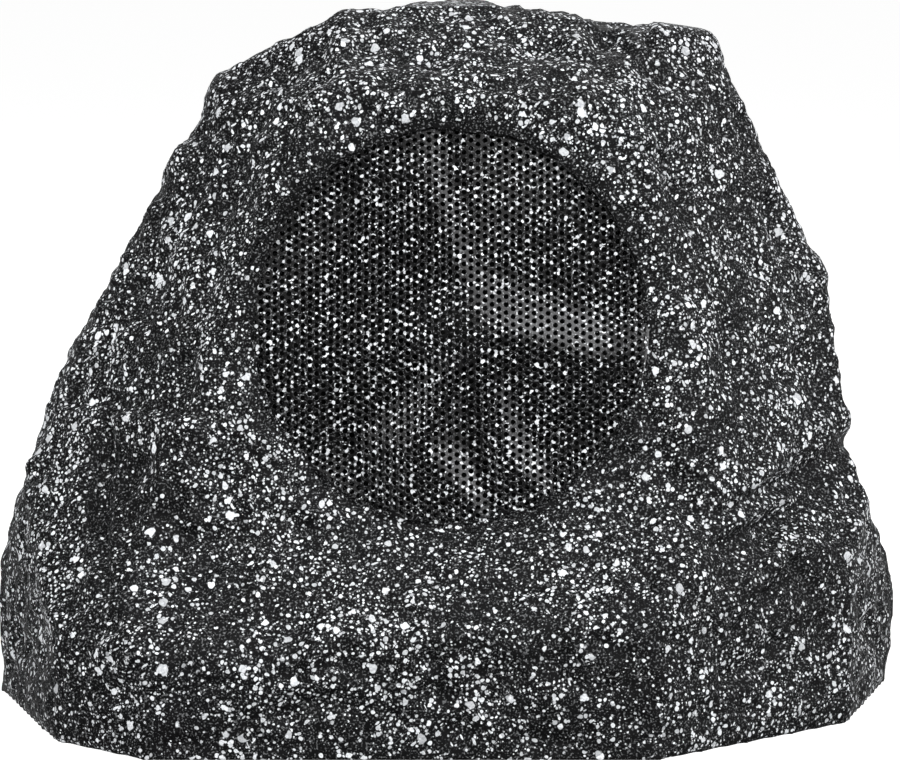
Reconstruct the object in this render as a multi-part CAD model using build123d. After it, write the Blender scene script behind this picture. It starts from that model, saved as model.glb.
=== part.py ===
from build123d import *
import math
import os

# A garden loudspeaker cast as a rock. Millimetres, +Z up, the front faces -Y,
# and the origin is on the ground under the middle of the rock.

# Rock: overall size and wall
WIDTH = 356.0
DEPTH = 304.0
HEIGHT = 271.0
WALL = 9.0
BODY_FLOOR = 70.0  # underside of the upper boulder, buried in the foot
FOOT_LID = 136.0  # top of the foot, buried in the upper boulder

# A facet is a flat cut: its compass facing (0 front, 90 right), its lean back from upright,
# and a point that it passes through, as a share of the half width or depth and of the height.
BODY_FACETS = {
    "front_left": (313, 24, 0.80, 0.574),
    "front_right": (47, 18, 0.81, 0.574),
    "left": (270, 28.7, 0.868, 0.453),
    "left_low": (270, 0, 0.86, 0.0),
    "right_low": (90, 8.6, 0.876, 0.363),
    "right_high": (90, 25.6, 0.812, 0.616),
    "back_left": (226, 24, 0.84, 0.52),
    "back_right": (136, 19, 0.86, 0.52),
    "back": (180, 17, 0.78, 0.52),
    "back_high": (188, 46, 0.54, 0.80),
    "brow": (4, 60, 0.55, 0.895),
    "brow_left": (308, 48, 0.62, 0.84),
    "brow_right": (40, 40, 0.70, 0.83),
    "top_left": (258, 64.2, 0.500, 0.885),
    "crest_left": (236, 80, 0.20, 0.972),
    "crest_right": (112, 81, 0.30, 0.970),
    "summit": (0, 90, 0.0, 1.0),
}
FOOT_FACETS = {
    "front": (0, 2, 1.0, 0.0),
    "front_left": (320.5, 3, 1.17, 0.0),
    "left_front": (289, 2, 1.035, 0.0),
    "front_right": (38, 4, 1.040, 0.0),
    "right_front": (73, 1, 0.988, 0.0),
    "left": (270, 0, 1.0, 0.0),
    "left_high": (270, 18, 1.0, 0.18),
    "left_shoulder": (270, 50, 0.862, 0.461),
    "right": (90, -5.5, 1.0, 0.142),
    "right_high": (90, 21.5, 1.0, 0.142),
    "back": (180, 3, 1.0, 0.0),
    "back_left": (228, 5, 1.12, 0.0),
    "left_back": (250, 3, 1.06, 0.0),
    "back_right": (136, 5, 1.10, 0.0),
    "right_back": (112, 3, 1.05, 0.0),
    "back_high": (180, 32, 0.97, 0.22),
    "back_left_high": (232, 36, 1.114, 0.20),
    "back_right_high": (130, 34, 1.05, 0.24),
    "shelf": (356, 42, 0.992, 0.17),
    "shelf_left": (318, 32, 1.046, 0.26),
    "shelf_right": (40, 44, 0.970, 0.28),
}

# Clefts: the facet, and the two ends of each on that facet from the facet's own point
CLEFTS = (
    ("front_left", (-24.0, -40.0), (-5.0, -84.0)),
    ("front_right", (24.0, -71.0), (-12.0, -84.0)),
)
CLEFT_WIDTH = 9.0
CLEFT_DEPTH = 5.0

# Chips broken from the facets: the facet, the middle of the chip on it from the facet's own point,
# the angle of its deep line, its length, and how far it runs out below that line
BODY_CHIPS = (
    ("front", -84.0, -56.0, 68, 50.0, 18.0),
    ("front", 80.0, -48.0, -76, 38.0, 16.0),
    ("front_left", 4.0, 50.0, 80, 60.0, 22.0),
    ("front_left", -24.0, 10.0, 105, 56.0, 22.0),
    ("front_left", 10.0, -20.0, 75, 56.0, 20.0),
    ("front_left", -2.0, -58.0, 12, 40.0, 20.0),
    ("front_left", 4.0, 78.0, 20, 36.0, 14.0),
    ("front_right", -12.0, 50.0, 100, 62.0, 24.0),
    ("front_right", 40.0, 30.0, 95, 50.0, 18.0),
    ("front_right", 0.0, -15.0, -85, 56.0, 20.0),
    ("front_right", 38.0, -20.0, 20, 40.0, 20.0),
    ("front_right", 24.0, -56.0, 18, 76.0, 24.0),
    ("brow", -14.0, 26.0, 15, 56.0, 22.0),
    ("brow", 30.0, 30.0, -20, 50.0, 22.0),
    ("brow", 5.0, 4.0, -8, 44.0, 14.0),
    ("brow", 54.0, 34.0, 60, 30.0, 14.0),
    ("brow", -38.0, 30.0, 70, 34.0, 14.0),
    ("brow_left", 12.0, 28.0, 50, 40.0, 16.0),
    ("brow_right", 18.0, 27.0, -40, 36.0, 16.0),
    ("top_left", 8.0, 28.0, 25, 54.0, 20.0),
    ("top_left", 30.0, 44.0, 70, 30.0, 14.0),
    ("top_left", -14.0, 12.0, -40, 34.0, 14.0),
    ("crest_left", 8.0, 18.0, 60, 44.0, 18.0),
    ("crest_right", -20.0, 8.0, 40, 56.0, 22.0),
    ("crest_right", 2.0, -28.0, -20, 44.0, 18.0),
    ("crest_right", 0.0, 34.0, -30, 36.0, 14.0),
    ("crest_right", -44.0, -20.0, 20, 36.0, 14.0),
    ("left", 0.0, 38.0, 12, 64.0, 22.0),
    ("left", 6.0, 84.0, -18, 60.0, 24.0),
    ("left", -14.0, 116.0, 40, 40.0, 16.0),
    ("left", -30.0, 62.0, 80, 40.0, 16.0),
    ("left", 32.0, 60.0, 100, 40.0, 16.0),
    ("left", 22.0, 108.0, 70, 36.0, 14.0),
    ("right_low", 5.0, 36.0, 10, 70.0, 24.0),
    ("right_low", -36.0, 30.0, 75, 40.0, 16.0),
    ("right_low", 44.0, 30.0, 105, 40.0, 16.0),
    ("right_high", 2.0, 30.0, -14, 56.0, 22.0),
    ("right_high", 0.0, 72.0, 22, 50.0, 22.0),
    ("right_high", 26.0, 52.0, 80, 36.0, 14.0),
    ("right_high", -24.0, 54.0, 100, 36.0, 14.0),
    ("back_left", 6.0, 62.0, 70, 60.0, 24.0),
    ("back_left", 14.0, 4.0, 105, 64.0, 24.0),
    ("back_left", -6.0, -36.0, 60, 50.0, 20.0),
    ("back_left", -22.0, 20.0, 80, 44.0, 16.0),
    ("back_left", 34.0, -30.0, 100, 40.0, 14.0),
    ("back_right", -12.0, 76.0, 100, 60.0, 22.0),
    ("back_right", -14.0, 18.0, 70, 64.0, 24.0),
    ("back_right", 4.0, -30.0, 110, 50.0, 20.0),
    ("back_right", -40.0, -20.0, 85, 44.0, 16.0),
    ("back_right", 14.0, 50.0, 110, 40.0, 16.0),
    ("back", -34.0, 30.0, 18, 60.0, 24.0),
    ("back", 36.0, 14.0, -25, 60.0, 24.0),
    ("back", -8.0, -26.0, 8, 70.0, 22.0),
    ("back", -62.0, -30.0, 75, 48.0, 18.0),
    ("back", 66.0, -34.0, 100, 48.0, 18.0),
    ("back", 2.0, 56.0, -12, 50.0, 18.0),
    ("back", -4.0, 6.0, 60, 40.0, 16.0),
    ("back", 34.0, -48.0, 12, 40.0, 14.0),
    ("back_high", -44.0, 26.0, -12, 56.0, 22.0),
    ("back_high", 22.0, 26.0, 20, 56.0, 22.0),
    ("back_high", -10.0, 52.0, 40, 40.0, 16.0),
    ("back_high", -72.0, 34.0, 80, 36.0, 14.0),
    ("back_high", 50.0, 8.0, 70, 36.0, 14.0),
    ("back_high", -14.0, -4.0, -30, 36.0, 14.0),
)
FOOT_CHIPS = (
    ("front", -62.0, 24.0, 6, 64.0, 14.0),
    ("front", 14.0, 28.0, -10, 60.0, 14.0),
    ("shelf", -52.0, 6.0, 8, 54.0, 14.0),
    ("shelf", 34.0, 22.0, 12, 54.0, 14.0),
    ("shelf", -8.0, 12.0, -15, 40.0, 12.0),
    ("shelf", 66.0, 20.0, 70, 26.0, 12.0),
    ("shelf_left", 2.0, -28.0, 20, 36.0, 14.0),
    ("front_right", 3.0, 32.0, 15, 50.0, 18.0),
    ("right_front", -8.0, 32.0, -12, 50.0, 18.0),
    ("left_front", 24.0, 28.0, 10, 56.0, 16.0),
    ("left_high", 4.0, 40.0, 12, 60.0, 22.0),
    ("left_high", -28.0, 34.0, 75, 36.0, 14.0),
    ("left_high", 34.0, 44.0, 105, 34.0, 14.0),
    ("left", -5.0, 26.0, -8, 50.0, 16.0),
    ("right_high", 8.0, 30.0, -10, 60.0, 20.0),
    ("right_high", -22.0, 30.0, 80, 34.0, 14.0),
    ("right_high", 44.0, 32.0, 100, 34.0, 14.0),
    ("back", -48.0, 28.0, 8, 60.0, 18.0),
    ("back", 52.0, 30.0, -10, 60.0, 18.0),
    ("back", 2.0, 34.0, 15, 44.0, 14.0),
    ("back", -84.0, 26.0, 80, 34.0, 12.0),
    ("back", 90.0, 28.0, 100, 34.0, 12.0),
    ("back_left", -16.0, 30.0, 12, 44.0, 16.0),
    ("back_right", 8.0, 34.0, -12, 48.0, 18.0),
    ("right_back", 14.0, 32.0, 10, 36.0, 14.0),
    ("left_back", -18.0, 30.0, -10, 40.0, 14.0),
)
CHIP_FALL = 0.25  # depth of a chip over its run-out
CHIP_STEEP = 0.35  # run-out above the deep line over the one below
CHIP_OVERRUN = 1.0

# Baffle: the flat at the front of the rock that carries the driver and the grille
BAFFLE_TILT = 12.0
BAFFLE_SETBACK = 50.0  # from the rock's foremost edge to the middle of the grille
BAFFLE_RISE = 155.6
BAFFLE_THICKNESS = 12.0
BAFFLE_MARGIN = 8.0

# Woofer
BASKET_MOUTH = 113.0
BASKET_TAPER = 18.5
BASKET_DEPTH = 30.0
BASKET_SHEET = 1.5
BASKET_WINDOWS = 6
WINDOW_WIDTH = 26.0
WINDOW_MARGIN = 3.0
FLANGE_WIDTH = 10.0
FLANGE_THICKNESS = 2.5
FLANGE_GAP = 1.0
CUTOUT_GAP = 1.5
SPIDER_LANDING = 5.0
SPIDER_SHEET = 0.8
SPIDER_WAVE = 1.6
SPIDER_WAVES = 2
SURROUND_WIDTH = 9.0
SURROUND_HEIGHT = 4.0
SURROUND_SHEET = 0.9
SURROUND_LIP = 2.25
CONE_SHEET = 0.8
CONE_NECK_RISE = 7.0  # from the spider's landing to the neck of the cone
CONE_TRAVEL = 4.0
COIL_DIAMETER = 25.6
COIL_FORMER_SHEET = 0.2
COIL_WINDING = 0.6
COIL_HEIGHT = 10.0
COIL_GAP = 0.4
COIL_TAIL = 1.0
TOP_PLATE_MARGIN = 3.0
TOP_PLATE_THICKNESS = 6.0
MAGNET_OVERHANG = 4.0
MAGNET_BORE_GAP = 5.0
MAGNET_THICKNESS = 15.0
YOKE_THICKNESS = 5.0

# Tweeter, on a post that stands on the woofer's pole
POST_DIAMETER = 10.0
TWEETER_CLEARANCE = 2.0  # over the cone at full travel
TWEETER_DIAMETER = 32.0
TWEETER_HEIGHT = 11.0
TWEETER_WALL = 1.5
TWEETER_FIT = 0.1
TWEETER_MAGNET_DIAMETER = 16.0
TWEETER_MAGNET_HEIGHT = 4.0
TWEETER_PLATE_HEIGHT = 2.0
TWEETER_PLATE_OVERHANG = 0.5
DOME_DIAMETER = 20.0
DOME_RISE = 3.5
DOME_SHOULDER = 14.0
DOME_SHOULDER_RISE = 2.1
DOME_SHEET = 0.4
FACE_HEIGHT = 1.6
FACE_FLARE = 2.0
FACE_GAP = 1.0

# Grille: a pressed sheet whose folds run out from a hub, with a turned-down rim
GRILLE_SHEET = 1.2
GRILLE_GAP = 0.3
GRILLE_LEDGE = 7.5
GRILLE_SEAT = 10.0  # depth of its ledge below the baffle's face
GRILLE_SINK = 3.0  # depth of its rim below the baffle's face
GRILLE_OVERRUN = 12.0
GRILLE_HUB = (1.0, -6.5, 9.5)
# Each fold: its angle and length from the hub, and the height of its end
GRILLE_FOLDS = (
    (-4.0, 57.0, 8.5),
    (20.0, 60.0, -3.5),
    (58.0, 60.0, 1.5),
    (85.0, 33.0, -3.5),
    (104.0, 41.0, 6.0),
    (124.0, 62.0, -2.5),
    (164.0, 58.0, -2.5),
    (183.0, 40.0, 7.0),
    (222.0, 52.0, -3.5),
    (245.0, 38.0, 8.5),
    (280.0, 43.0, 1.0),
    (288.0, 44.0, 7.5),
    (308.0, 54.0, -3.5),
)
# The fine punching, drawn at its open share with fewer and larger holes
HOLE_PITCH = 15.0
HOLE_DIAMETER = 10.0
HOLE_MARGIN = 8.0

# Seals and screws
GASKET_THICKNESS = 2.0
DRIVER_DROP = 9.0  # from the grille's ledge down to the driver's
SCREW_DIAMETER = 4.0
SCREW_HEAD = 7.5
SCREW_HEAD_HEIGHT = 2.4
SCREW_GRIP = 8.0
SCREW_TIP_GAP = 1.0
SCREW_GAP = 0.06
SCREW_PASS_GAP = 0.6
FLANGE_SCREWS = 4
FLANGE_SCREW_ANGLE = 45.0

# Base
BASE_RECESS = 12.0
BASE_THICKNESS = 6.0
BASE_GAP = 0.6
RIM_WIDTH = 16.0
RIM_THICKNESS = 9.0
BASE_SCREW_FACINGS = (12, 55, 100, 142, 206, 250, 300, 336)
CABLE_DIAMETER = 6.4
CABLE_NOTCH_WIDTH = 14.0
CABLE_NOTCH_HEIGHT = 9.0
GROMMET_WALL = 3.8
GROMMET_LIP = 2.0
GROMMET_LIP_WIDTH = 4.0
GROMMET_PLACE = (0.0, 82.0)

# Crossover, on pillars that stand on the base
BOARD_PLACE = (-52.0, 20.0)
BOARD_THICKNESS = 1.6
BOARD_LIFT = 7.0
BOARD_EDGE = 9.0
BOARD_HOLE_INSET = 5.0
BOARD_SCREW_DIAMETER = 3.0
BOARD_SCREW_HEAD = 6.0
PILLAR_WALL = 2.4
PART_SPACING = 4.0
INDUCTOR_DIAMETER = 30.0
INDUCTOR_BORE = 14.0
INDUCTOR_WIDTH = 14.0
CAPACITOR_DIAMETER = 16.0
CAPACITOR_LENGTH = 32.0
RESISTOR_SIZE = (22.0, 9.0, 9.0)
TERMINAL_SIZE = (16.0, 11.0, 12.0)

# Tag strip on the basket, and the lead to it from the crossover
STRIP_SIZE = (22.0, 12.0, 1.6)
STRIP_GAP = 0.5
TAG_SIZE = (4.8, 10.0, 0.8)
TAG_SPACING = 11.0
LEAD_WIDTH = 5.0
LEAD_THICKNESS = 2.5
LEAD_BEND = 20.0
LEAD_DROP = 30.0
LEAD_RUN = 40.0

# Round pieces inside the rock are drawn in flats that touch the true circle
FLATS = 20
SCREW_FLATS = 8

# Diameters of the woofer, the grille and what they sit in
FRAME_DIAMETER = BASKET_MOUTH + 2 * FLANGE_WIDTH
CUTOUT_DIAMETER = BASKET_MOUTH + 2 * CUTOUT_GAP
RECESS_DIAMETER = FRAME_DIAMETER + 2 * FLANGE_GAP
GRILLE_DIAMETER = RECESS_DIAMETER + 2 * GRILLE_LEDGE
FLANGE_SCREW_CIRCLE = (FRAME_DIAMETER + CUTOUT_DIAMETER) / 2
BASKET_WAIST = BASKET_MOUTH - 2 * BASKET_TAPER
BASKET_THROAT = BASKET_WAIST - 2 * SPIDER_LANDING
CONE_DIAMETER = BASKET_MOUTH - 2 * BASKET_SHEET - 2 * SURROUND_WIDTH
NECK_DIAMETER = COIL_DIAMETER + 2 * COIL_FORMER_SHEET
WINDING_DIAMETER = NECK_DIAMETER + 2 * COIL_WINDING
COIL_BORE = WINDING_DIAMETER + 2 * COIL_GAP
POLE_DIAMETER = COIL_DIAMETER - 2 * COIL_GAP
TOP_PLATE_DIAMETER = BASKET_THROAT + 2 * TOP_PLATE_MARGIN
MAGNET_DIAMETER = TOP_PLATE_DIAMETER + 2 * MAGNET_OVERHANG
MAGNET_BORE = COIL_BORE + 2 * MAGNET_BORE_GAP

# Heights along the driver's axis, from the baffle's face
DRIVER_LEDGE = -GRILLE_SEAT - DRIVER_DROP
BAFFLE_BACK = DRIVER_LEDGE - BAFFLE_THICKNESS
FLANGE_BACK = DRIVER_LEDGE + GASKET_THICKNESS
FLANGE_FRONT = FLANGE_BACK + FLANGE_THICKNESS
BASKET_BACK = FLANGE_BACK - BASKET_DEPTH
LANDING = BASKET_BACK + BASKET_SHEET + SPIDER_LANDING
CONE_NECK = LANDING + CONE_NECK_RISE
MAGNET_FRONT = BASKET_BACK - TOP_PLATE_THICKNESS
MAGNET_BACK = MAGNET_FRONT - MAGNET_THICKNESS
YOKE_BACK = MAGNET_BACK - YOKE_THICKNESS
STRIP_BACK = LANDING - BASKET_SHEET - STRIP_SIZE[2]

# Heights of the base
PLATE_TOP = BASE_RECESS + BASE_THICKNESS
RIM_UNDER = PLATE_TOP + GASKET_THICKNESS
RIM_TOP = RIM_UNDER + RIM_THICKNESS
BOARD_UNDER = PLATE_TOP + BOARD_LIFT
BOARD_TOP = BOARD_UNDER + BOARD_THICKNESS

# Layout of the crossover board, from its middle
BOARD_LENGTH = INDUCTOR_DIAMETER + CAPACITOR_DIAMETER + TERMINAL_SIZE[0] + 2 * PART_SPACING + 2 * BOARD_EDGE
BOARD_WIDTH = CAPACITOR_LENGTH + RESISTOR_SIZE[1] + PART_SPACING + 2 * BOARD_EDGE
INDUCTOR_X = -BOARD_LENGTH / 2 + BOARD_EDGE + INDUCTOR_DIAMETER / 2
CAPACITOR_X = INDUCTOR_X + INDUCTOR_DIAMETER / 2 + PART_SPACING + CAPACITOR_DIAMETER / 2
CAPACITOR_Y = BOARD_WIDTH / 2 - BOARD_EDGE - CAPACITOR_LENGTH / 2
RESISTOR_Y = -BOARD_WIDTH / 2 + BOARD_EDGE + RESISTOR_SIZE[1] / 2
TERMINAL_X = BOARD_LENGTH / 2 - BOARD_EDGE - TERMINAL_SIZE[0] / 2

GROUND = (Align.CENTER, Align.CENTER, Align.MIN)
TILT = math.radians(BAFFLE_TILT)
BAFFLE_REACH = DEPTH / 2 - BAFFLE_SETBACK
BAFFLE = Plane(
    origin=(0, -BAFFLE_REACH, BAFFLE_RISE),
    x_dir=(1, 0, 0),
    z_dir=(0, -math.cos(TILT), math.sin(TILT)),
)
BAFFLE_FACET = {"front": (0, BAFFLE_TILT, BAFFLE_REACH / (DEPTH / 2), BAFFLE_RISE / HEIGHT)}
PARTS_FOLDER = "parts"


def facet_plane(facet, inset):
    """Plane of a facet, moved into the rock by inset, with its Y up the slope."""
    facing, lean, across, up = facet
    turn = math.radians(facing)
    tip = math.radians(lean)
    normal = Vector(math.sin(turn) * math.cos(tip), -math.cos(turn) * math.cos(tip), math.sin(tip))
    point = Vector(across * math.sin(turn) * WIDTH / 2, -across * math.cos(turn) * DEPTH / 2, up * HEIGHT)
    return Plane(origin=point - normal * inset, x_dir=(math.cos(turn), math.sin(turn), 0), z_dir=normal)


def boulder(facets, inset, floor, lid):
    """A block between two heights, cut flat by each facet."""
    block = Pos(0, 0, floor) * Box(2 * WIDTH, 2 * DEPTH, lid - floor, align=GROUND)
    for facet in facets.values():
        block = split(block, bisect_by=facet_plane(facet, inset), keep=Keep.BOTTOM)
    return block


def foot_slab(inset, low, high):
    """A flat slice of the foot, moved in by inset, between two heights."""
    return boulder(FOOT_FACETS, inset, low, high)


def foot_reach(facing, inset, height):
    """Distance from the rock's axis to the foot's wall, moved in by inset, at a height."""
    turn = math.radians(facing)
    ray = Vector(math.sin(turn), -math.cos(turn), 0)
    reaches = []
    for facet in FOOT_FACETS.values():
        plane = facet_plane(facet, inset)
        slope = plane.z_dir.dot(ray)
        if slope > 0:
            reaches.append(plane.z_dir.dot(plane.origin - Vector(0, 0, height)) / slope)
    return min(reaches)


def true_disc(diameter, low, high):
    """A round plate between two heights, with a true round wall."""
    return Pos(0, 0, low) * Cylinder(diameter / 2, high - low, align=GROUND)


def flat_faced(outlines):
    """A solid from the outlines of all its flat faces."""
    return Solid(Shell([Face(Wire.make_polygon(outline, close=True)) for outline in outlines]))


def turned(points, flats=FLATS):
    """A solid turned about Z, in flats, from an outline of (radius, height) points."""
    grow = 1 / math.cos(math.pi / flats)
    rings = []
    for k in range(flats):
        angle = 2 * math.pi * (k + 0.5) / flats
        ray = Vector(math.cos(angle), math.sin(angle), 0) * grow
        rings.append([ray * radius + Vector(0, 0, height) for radius, height in points])
    outlines = []
    for k in range(flats):
        for i in range(len(points)):
            j = (i + 1) % len(points)
            outline = [rings[k - 1][i], rings[k - 1][j]]
            if points[j][0] > 0:
                outline.append(rings[k][j])
            if points[i][0] > 0:
                outline.append(rings[k][i])
            if len(outline) > 2:
                outlines.append(outline)
    return flat_faced(outlines)


def disc(diameter, low, high, flats=FLATS):
    """A round plate between two heights, in flats."""
    return turned(((0, low), (diameter / 2, low), (diameter / 2, high), (0, high)), flats)


def ring(outer, inner, low, high, flats=FLATS):
    """A round plate with a hole, between two heights, in flats."""
    return turned(((inner / 2, low), (outer / 2, low), (outer / 2, high), (inner / 2, high)), flats)


def screw(head_diameter, shank_diameter, shank_length):
    """A pan-head screw with its head above Z zero and its shank below."""
    head = head_diameter / 2
    shank = shank_diameter / 2
    top = SCREW_HEAD_HEIGHT
    outline = ((0, -shank_length), (shank, -shank_length), (shank, 0), (head, 0), (head, top), (0, top))
    return turned(outline, SCREW_FLATS)


def screw_hole(screw_diameter, gap, low, high):
    """The hole around a screw between two heights."""
    return disc(screw_diameter + 2 * gap, low, high, SCREW_FLATS)


def base_screw_places():
    """Where the screws of the base stand, along the middle of the casting's rim."""
    places = []
    for facing in BASE_SCREW_FACINGS:
        reach = foot_reach(facing, WALL + RIM_WIDTH / 2, PLATE_TOP)
        turn = math.radians(facing)
        places.append(Pos(reach * math.sin(turn), -reach * math.cos(turn), 0))
    return places


def flange_screw_places():
    """Where the screws of the woofer stand on its flange."""
    return PolarLocations(FLANGE_SCREW_CIRCLE / 2, FLANGE_SCREWS, start_angle=FLANGE_SCREW_ANGLE).locations


def board_screw_places():
    """Where the screws of the crossover board stand, one at each corner."""
    pitch_x = BOARD_LENGTH - 2 * BOARD_HOLE_INSET
    pitch_y = BOARD_WIDTH - 2 * BOARD_HOLE_INSET
    return [Pos(*BOARD_PLACE, 0) * corner for corner in GridLocations(pitch_x, pitch_y, 2, 2).locations]


def cleft(facet, start, end):
    """A wedge along a line on a facet, point inwards, to be cut from the rock."""
    face = facet_plane(facet, 0)
    first = face.from_local_coords(Vector(*start, 0))
    run = face.from_local_coords(Vector(*end, 0)) - first
    above = CLEFT_DEPTH
    half = CLEFT_WIDTH / 2 * (above + CLEFT_DEPTH) / CLEFT_DEPTH
    outline = make_face(Polyline((above, -half), (above, half), (-CLEFT_DEPTH, 0), close=True))
    section = Plane(origin=first, x_dir=face.z_dir, z_dir=run) * outline
    return extrude(section, run.length, dir=run.normalized())


def chip(facet, across, up, angle, length, width):
    """A four-sided point, to be broken out of a facet."""
    face = facet_plane(facet, 0)
    turn = math.radians(angle)
    along = Vector(math.cos(turn), math.sin(turn), 0) * length / 2
    beside = Vector(-math.sin(turn), math.cos(turn), 0)
    depth = width * CHIP_FALL
    grow = (depth + CHIP_OVERRUN) / depth
    middle = Vector(across, up, 0)
    point = face.from_local_coords(middle - Vector(0, 0, depth))
    rim = []
    for side in (along, beside * width * CHIP_STEEP, -along, -beside * width):
        rim.append(face.from_local_coords(middle + side * grow + Vector(0, 0, CHIP_OVERRUN)))
    outlines = [rim]
    for i in range(len(rim)):
        outlines.append((point, rim[i], rim[i - 1]))
    return flat_faced(outlines)


def breaks():
    """All that is broken out of the rock's facets: clefts and chips."""
    body_facets = BAFFLE_FACET | BODY_FACETS
    cuts = [cleft(body_facets[facet], start, end) for facet, start, end in CLEFTS]
    cuts += [chip(body_facets[facet], *shape) for facet, *shape in BODY_CHIPS]
    cuts += [chip(FOOT_FACETS[facet], *shape) for facet, *shape in FOOT_CHIPS]
    return cuts


def rock(inset, floor):
    """The rock as a solid, an upper boulder that stands in a wider foot, moved in by inset."""
    body = boulder(BAFFLE_FACET | BODY_FACETS, inset, BODY_FLOOR + inset, HEIGHT)
    return body + foot_slab(inset, floor, FOOT_LID - inset)


def driver_mouth():
    """What is cut from the baffle: two ledges, the driver's opening and its screw holes."""
    mouth = true_disc(GRILLE_DIAMETER + 2 * GRILLE_GAP, -GRILLE_SEAT, DEPTH / 2)
    mouth += true_disc(RECESS_DIAMETER, DRIVER_LEDGE, -GRILLE_SEAT)
    mouth += true_disc(CUTOUT_DIAMETER, BAFFLE_BACK - WALL, DRIVER_LEDGE)
    hole_end = DRIVER_LEDGE - SCREW_GRIP - SCREW_TIP_GAP
    for place in flange_screw_places():
        mouth += place * screw_hole(SCREW_DIAMETER, SCREW_GAP, hole_end, DRIVER_LEDGE)
    return BAFFLE.location * mouth


def base_rim():
    """The inward rim of the casting that the base is screwed to."""
    rim = foot_slab(WALL / 2, RIM_UNDER, RIM_TOP) - foot_slab(WALL + RIM_WIDTH, RIM_UNDER, RIM_TOP)
    for place in base_screw_places():
        rim -= place * screw_hole(SCREW_DIAMETER, SCREW_GAP, RIM_UNDER, RIM_TOP)
    return rim


def rock_shell():
    """The casting: wall, breaks, baffle with its ledges, and the rim for the base."""
    solid = rock(0, 0)
    boss = BAFFLE.location * disc(GRILLE_DIAMETER + 2 * BAFFLE_MARGIN, BAFFLE_BACK, DEPTH / 2)
    shell = solid - rock(WALL, -WALL) + (solid & boss) + base_rim()
    shell -= driver_mouth()
    shell -= breaks()
    return shell - Pos(0, DEPTH / 2, 0) * Box(CABLE_NOTCH_WIDTH, DEPTH / 2, 2 * CABLE_NOTCH_HEIGHT)


def grille_folds():
    """The space under the folded face of the grille, down to its seat."""
    rise = Vector(0, 0, -GRILLE_SINK)
    hub = Vector(*GRILLE_HUB) + rise
    reach = GRILLE_DIAMETER / 2 + GRILLE_OVERRUN
    ends = []
    rim = []
    feet = []
    for angle, length, height in GRILLE_FOLDS:
        ray = Vector(math.cos(math.radians(angle)), math.sin(math.radians(angle)), 0)
        ends.append(Vector(hub.X, hub.Y, height) + ray * length + rise)
        rim.append(ray * reach + rise)
        feet.append(ray * reach + Vector(0, 0, -GRILLE_SEAT))
    outlines = [feet]
    for i in range(len(ends)):
        j = (i + 1) % len(ends)
        outlines.append((hub, ends[i], ends[j]))
        outlines.append((ends[i], rim[i], rim[j]))
        outlines.append((ends[i], rim[j], ends[j]))
        outlines.append((rim[i], feet[i], feet[j], rim[j]))
    return flat_faced(outlines)


def grille_holes():
    """The punched holes, in upright staggered columns, as prisms through the sheet."""
    reach = GRILLE_DIAMETER / 2 - HOLE_MARGIN
    column = HOLE_PITCH * math.sqrt(3) / 2
    count = int(reach / column) + 1
    places = []
    for i in range(-count, count + 1):
        for j in range(-count, count + 1):
            x = i * column
            y = (j + (i % 2) / 2) * HOLE_PITCH
            if math.hypot(x, y) < reach:
                places.append(Pos(x, y, -GRILLE_SEAT))
    prism = extrude(RegularPolygon(HOLE_DIAMETER / 2, 6), 3 * GRILLE_SEAT)
    return Part() + [place * prism for place in places]


def grille():
    """A cap of folded sheet with a turned-down rim, punched all over."""
    folds = grille_folds()
    outside = folds & true_disc(GRILLE_DIAMETER, -GRILLE_SEAT, GRILLE_SEAT)
    bore = true_disc(GRILLE_DIAMETER - 2 * GRILLE_SHEET, -GRILLE_SEAT - GRILLE_SHEET, GRILLE_SEAT)
    inside = (Pos(0, 0, -GRILLE_SHEET) * folds) & bore
    return outside - inside - grille_holes()


def basket():
    """The pressed basket: flange, windowed cone, landing for the spider and back."""
    mouth = BASKET_MOUTH / 2
    waist = BASKET_WAIST / 2
    throat = BASKET_THROAT / 2
    wall = turned(
        (
            (mouth, FLANGE_BACK),
            (mouth - BASKET_SHEET, FLANGE_BACK),
            (waist - BASKET_SHEET, LANDING),
            (throat - BASKET_SHEET, LANDING),
            (throat - BASKET_SHEET, BASKET_BACK + BASKET_SHEET),
            (COIL_BORE / 2, BASKET_BACK + BASKET_SHEET),
            (COIL_BORE / 2, BASKET_BACK),
            (throat, BASKET_BACK),
            (throat, LANDING - BASKET_SHEET),
            (waist, LANDING - BASKET_SHEET),
        )
    )
    height = FLANGE_BACK - LANDING - 2 * WINDOW_MARGIN
    window = Pos(mouth / 2 + waist / 2, 0, (FLANGE_BACK + LANDING) / 2) * Box(mouth, WINDOW_WIDTH, height)
    for place in PolarLocations(0, BASKET_WINDOWS).locations:
        wall -= place * window
    wall += ring(FRAME_DIAMETER, BASKET_MOUTH - 2 * BASKET_SHEET, FLANGE_BACK, FLANGE_FRONT)
    for place in flange_screw_places():
        wall -= place * screw_hole(SCREW_DIAMETER, SCREW_PASS_GAP, FLANGE_BACK, FLANGE_FRONT)
    return wall


def surround():
    """The rubber roll between the cone and the flange."""
    cone_edge = CONE_DIAMETER / 2
    roll_edge = cone_edge + SURROUND_WIDTH
    crown = FLANGE_FRONT + SURROUND_HEIGHT
    under = [
        (cone_edge - SURROUND_LIP, FLANGE_FRONT),
        (cone_edge, FLANGE_FRONT),
        (cone_edge + SURROUND_LIP, crown - SURROUND_SHEET),
        (roll_edge - SURROUND_LIP, crown - SURROUND_SHEET),
        (roll_edge, FLANGE_FRONT),
        (roll_edge + SURROUND_LIP, FLANGE_FRONT),
    ]
    over = [(radius, height + SURROUND_SHEET) for radius, height in reversed(under)]
    return turned(under + over)


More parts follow.
